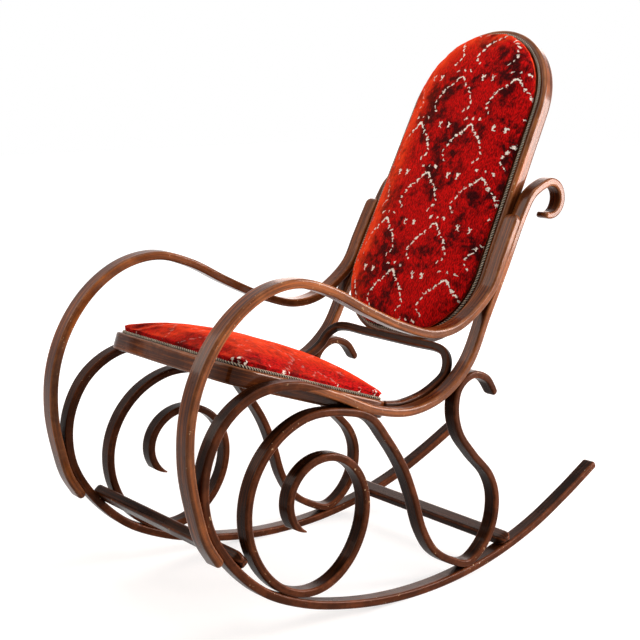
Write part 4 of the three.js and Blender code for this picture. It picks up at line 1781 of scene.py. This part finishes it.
@dataclass(frozen=True)
class Lamp:
    """A soft lamp that faces the chair: place, width and height of its face, watts and colour."""

    name: str
    place: tuple[float, float, float]
    size: tuple[float, float]
    watts: float
    colour: str


@dataclass
class Studio:
    """Camera, plain pale floor and soft light."""

    camera_at: tuple[float, float, float] = (1.9446, -1.6510, 1.0022)
    aim: tuple[float, float, float] = (0.0, -0.0570, 0.5137)
    lens: float = 73.125
    sensor: float = 36.0
    ambient: float = 0.13
    floor_size: float = 12.0
    floor_glow: float = 0.66
    floor_tones: tuple[str, str] = ("a8a8a8", "b0b0b0")
    mottle_size: float = 333
    lamp_aim: tuple[float, float, float] = (0, 0, 0.5)
    lamps: tuple[Lamp, ...] = (
        Lamp("window", (2.0, 2.3, 1.15), (1.2, 1.7), 190, "fff0ea"),
        Lamp("rim", (-1.8, 2.3, 1.4), (2.2, 1.8), 34, "ffe6dc"),
        Lamp("key", (-1.7, -2.2, 2.8), (2.7, 2.7), 88, "fff2e6"),
        Lamp("sky", (0.9, 0.2, 3.2), (2.0, 2.0), 40, "ffffff"),
    )

    def _hang(self, name: str, data: bpy.types.ID, place: tuple, aim: tuple) -> bpy.types.Object:
        """Places a camera or a lamp and turns it to its aim.

        Args:
            name: its name.
            data: its settings.
            place: where it hangs.
            aim: the place that it faces.

        Returns:
            The object.
        """
        hung = bpy.data.objects.new(name, data)
        bpy.context.scene.collection.objects.link(hung)
        hung.location = place
        hung.rotation_euler = (Vector(aim) - Vector(place)).to_track_quat("-Z", "Y").to_euler()
        return hung

    def _camera(self) -> None:
        """Places the camera."""
        data = bpy.data.cameras.new("photo_camera")
        data.lens = self.lens
        data.sensor_width = self.sensor
        bpy.context.scene.camera = self._hang("photo_camera", data, self.camera_at, self.aim)

    def _lamp(self, lamp: Lamp) -> None:
        """Hangs one lamp, which the camera doesn't see.

        Args:
            lamp: its place and light.
        """
        data = bpy.data.lights.new(lamp.name, "AREA")
        data.shape = "RECTANGLE"
        data.size, data.size_y = lamp.size
        data.energy = lamp.watts
        data.color = linear(lamp.colour)[:3]
        self._hang(lamp.name, data, lamp.place, self.lamp_aim).visible_camera = False

    def _seen(self, tree: ShaderTree) -> bpy.types.Node:
        """Tells the rays that see the background.

        Args:
            tree: the nodes of a material or of the world.

        Returns:
            1 for rays that see it straight, reflected or through glass, and 0 for others.
        """
        rays = tree.add("LightPath").outputs
        seen = rays["Is Camera Ray"]
        for kind in ("Is Glossy Ray", "Is Transmission Ray"):
            seen = tree.add("Math", seen, rays[kind], operation="MAXIMUM")
        return seen

    def _world(self) -> None:
        """Makes the room white to the eye, and dimmer as a light."""
        tree = ShaderTree(bpy.data.worlds.new("white_room"))
        strength = tree.add("MapRange", self._seen(tree), 0, 1, self.ambient, 1.0)
        bpy.context.scene.world = tree.finish(Color=(1, 1, 1, 1), Strength=strength)

    def _floor(self) -> None:
        """Lays a plain pale floor that keeps the chair's shadow."""
        bm = bmesh.new()
        bmesh.ops.create_grid(bm, x_segments=1, y_segments=1, size=self.floor_size)
        mesh = bpy.data.meshes.new("floor")
        bm.to_mesh(mesh)
        bm.free()
        floor = bpy.data.objects.new("floor", mesh)
        bpy.context.scene.collection.objects.link(floor)
        tree = ShaderTree(bpy.data.materials.new("pale_floor"))
        place = tree.add("TexCoord").outputs["Object"]
        mottle = tree.add("TexNoise", Vector=place, Scale=cells(self.mottle_size), Detail=2.0)
        tones = [linear(colour) for colour in self.floor_tones]
        away = tree.add("VectorMath", place, operation="LENGTH")
        glow = tree.add("MapRange", away, 0.5, 2.6, self.floor_glow, 1, **SMOOTH)
        finish = tree.finish(
            Base_Color=tree.add("Mix", mottle, *tones, **COLOURS),
            Roughness=0.9,
            Emission_Color=linear("ffffff"),
            Emission_Strength=tree.add("Math", self._seen(tree), glow, operation="MULTIPLY"),
        )
        mesh.materials.append(finish)

    def build(self) -> None:
        """Sets up the view, the light and the floor."""
        bpy.context.scene.view_settings.view_transform = "Standard"
        self._camera()
        self._world()
        self._floor()
        for lamp in self.lamps:
            self._lamp(lamp)


def main() -> None:
    """Builds the chair on its frame, dresses it and lights it."""
    logging.basicConfig(level=logging.INFO, format="%(name)s: %(message)s")
    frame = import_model()
    Studio().build()
    beech = BentBeech().material()
    # A darker copy of the beech for the rockers, scrolls, brace and stretchers: painted shade on the lower
    # rods, not another wood.
    dark = BentBeech(
        name="steam_bent_beech_painted_shade",
        deep="050201",
        stain="180a04",
        warm="4e250e",
        rubbed_and_lit="7c4428",
        rubbing_and_light=0.62,
        specular=0.05,
        varnish=0.05,
    ).material()
    gimp = GimpCord().material()
    sides = SideFrames(beech, dark)
    sides.build()
    back = Back(sides, beech, gimp)
    back.build(frame["nodes"])
    Seat(sides, beech, gimp).build(frame["nodes"])
    Brace(sides, back, dark).build()
    Stretcher(sides, dark, "front_stretcher", (-0.3895, 0.163), Section(0.032, 0.021, 0.005)).build()
    Stretcher(sides, dark, "rear_stretcher", (0.2235, 0.053), Section(0.034, 0.018, 0.005)).build()


if __name__ == "__main__":
    main()
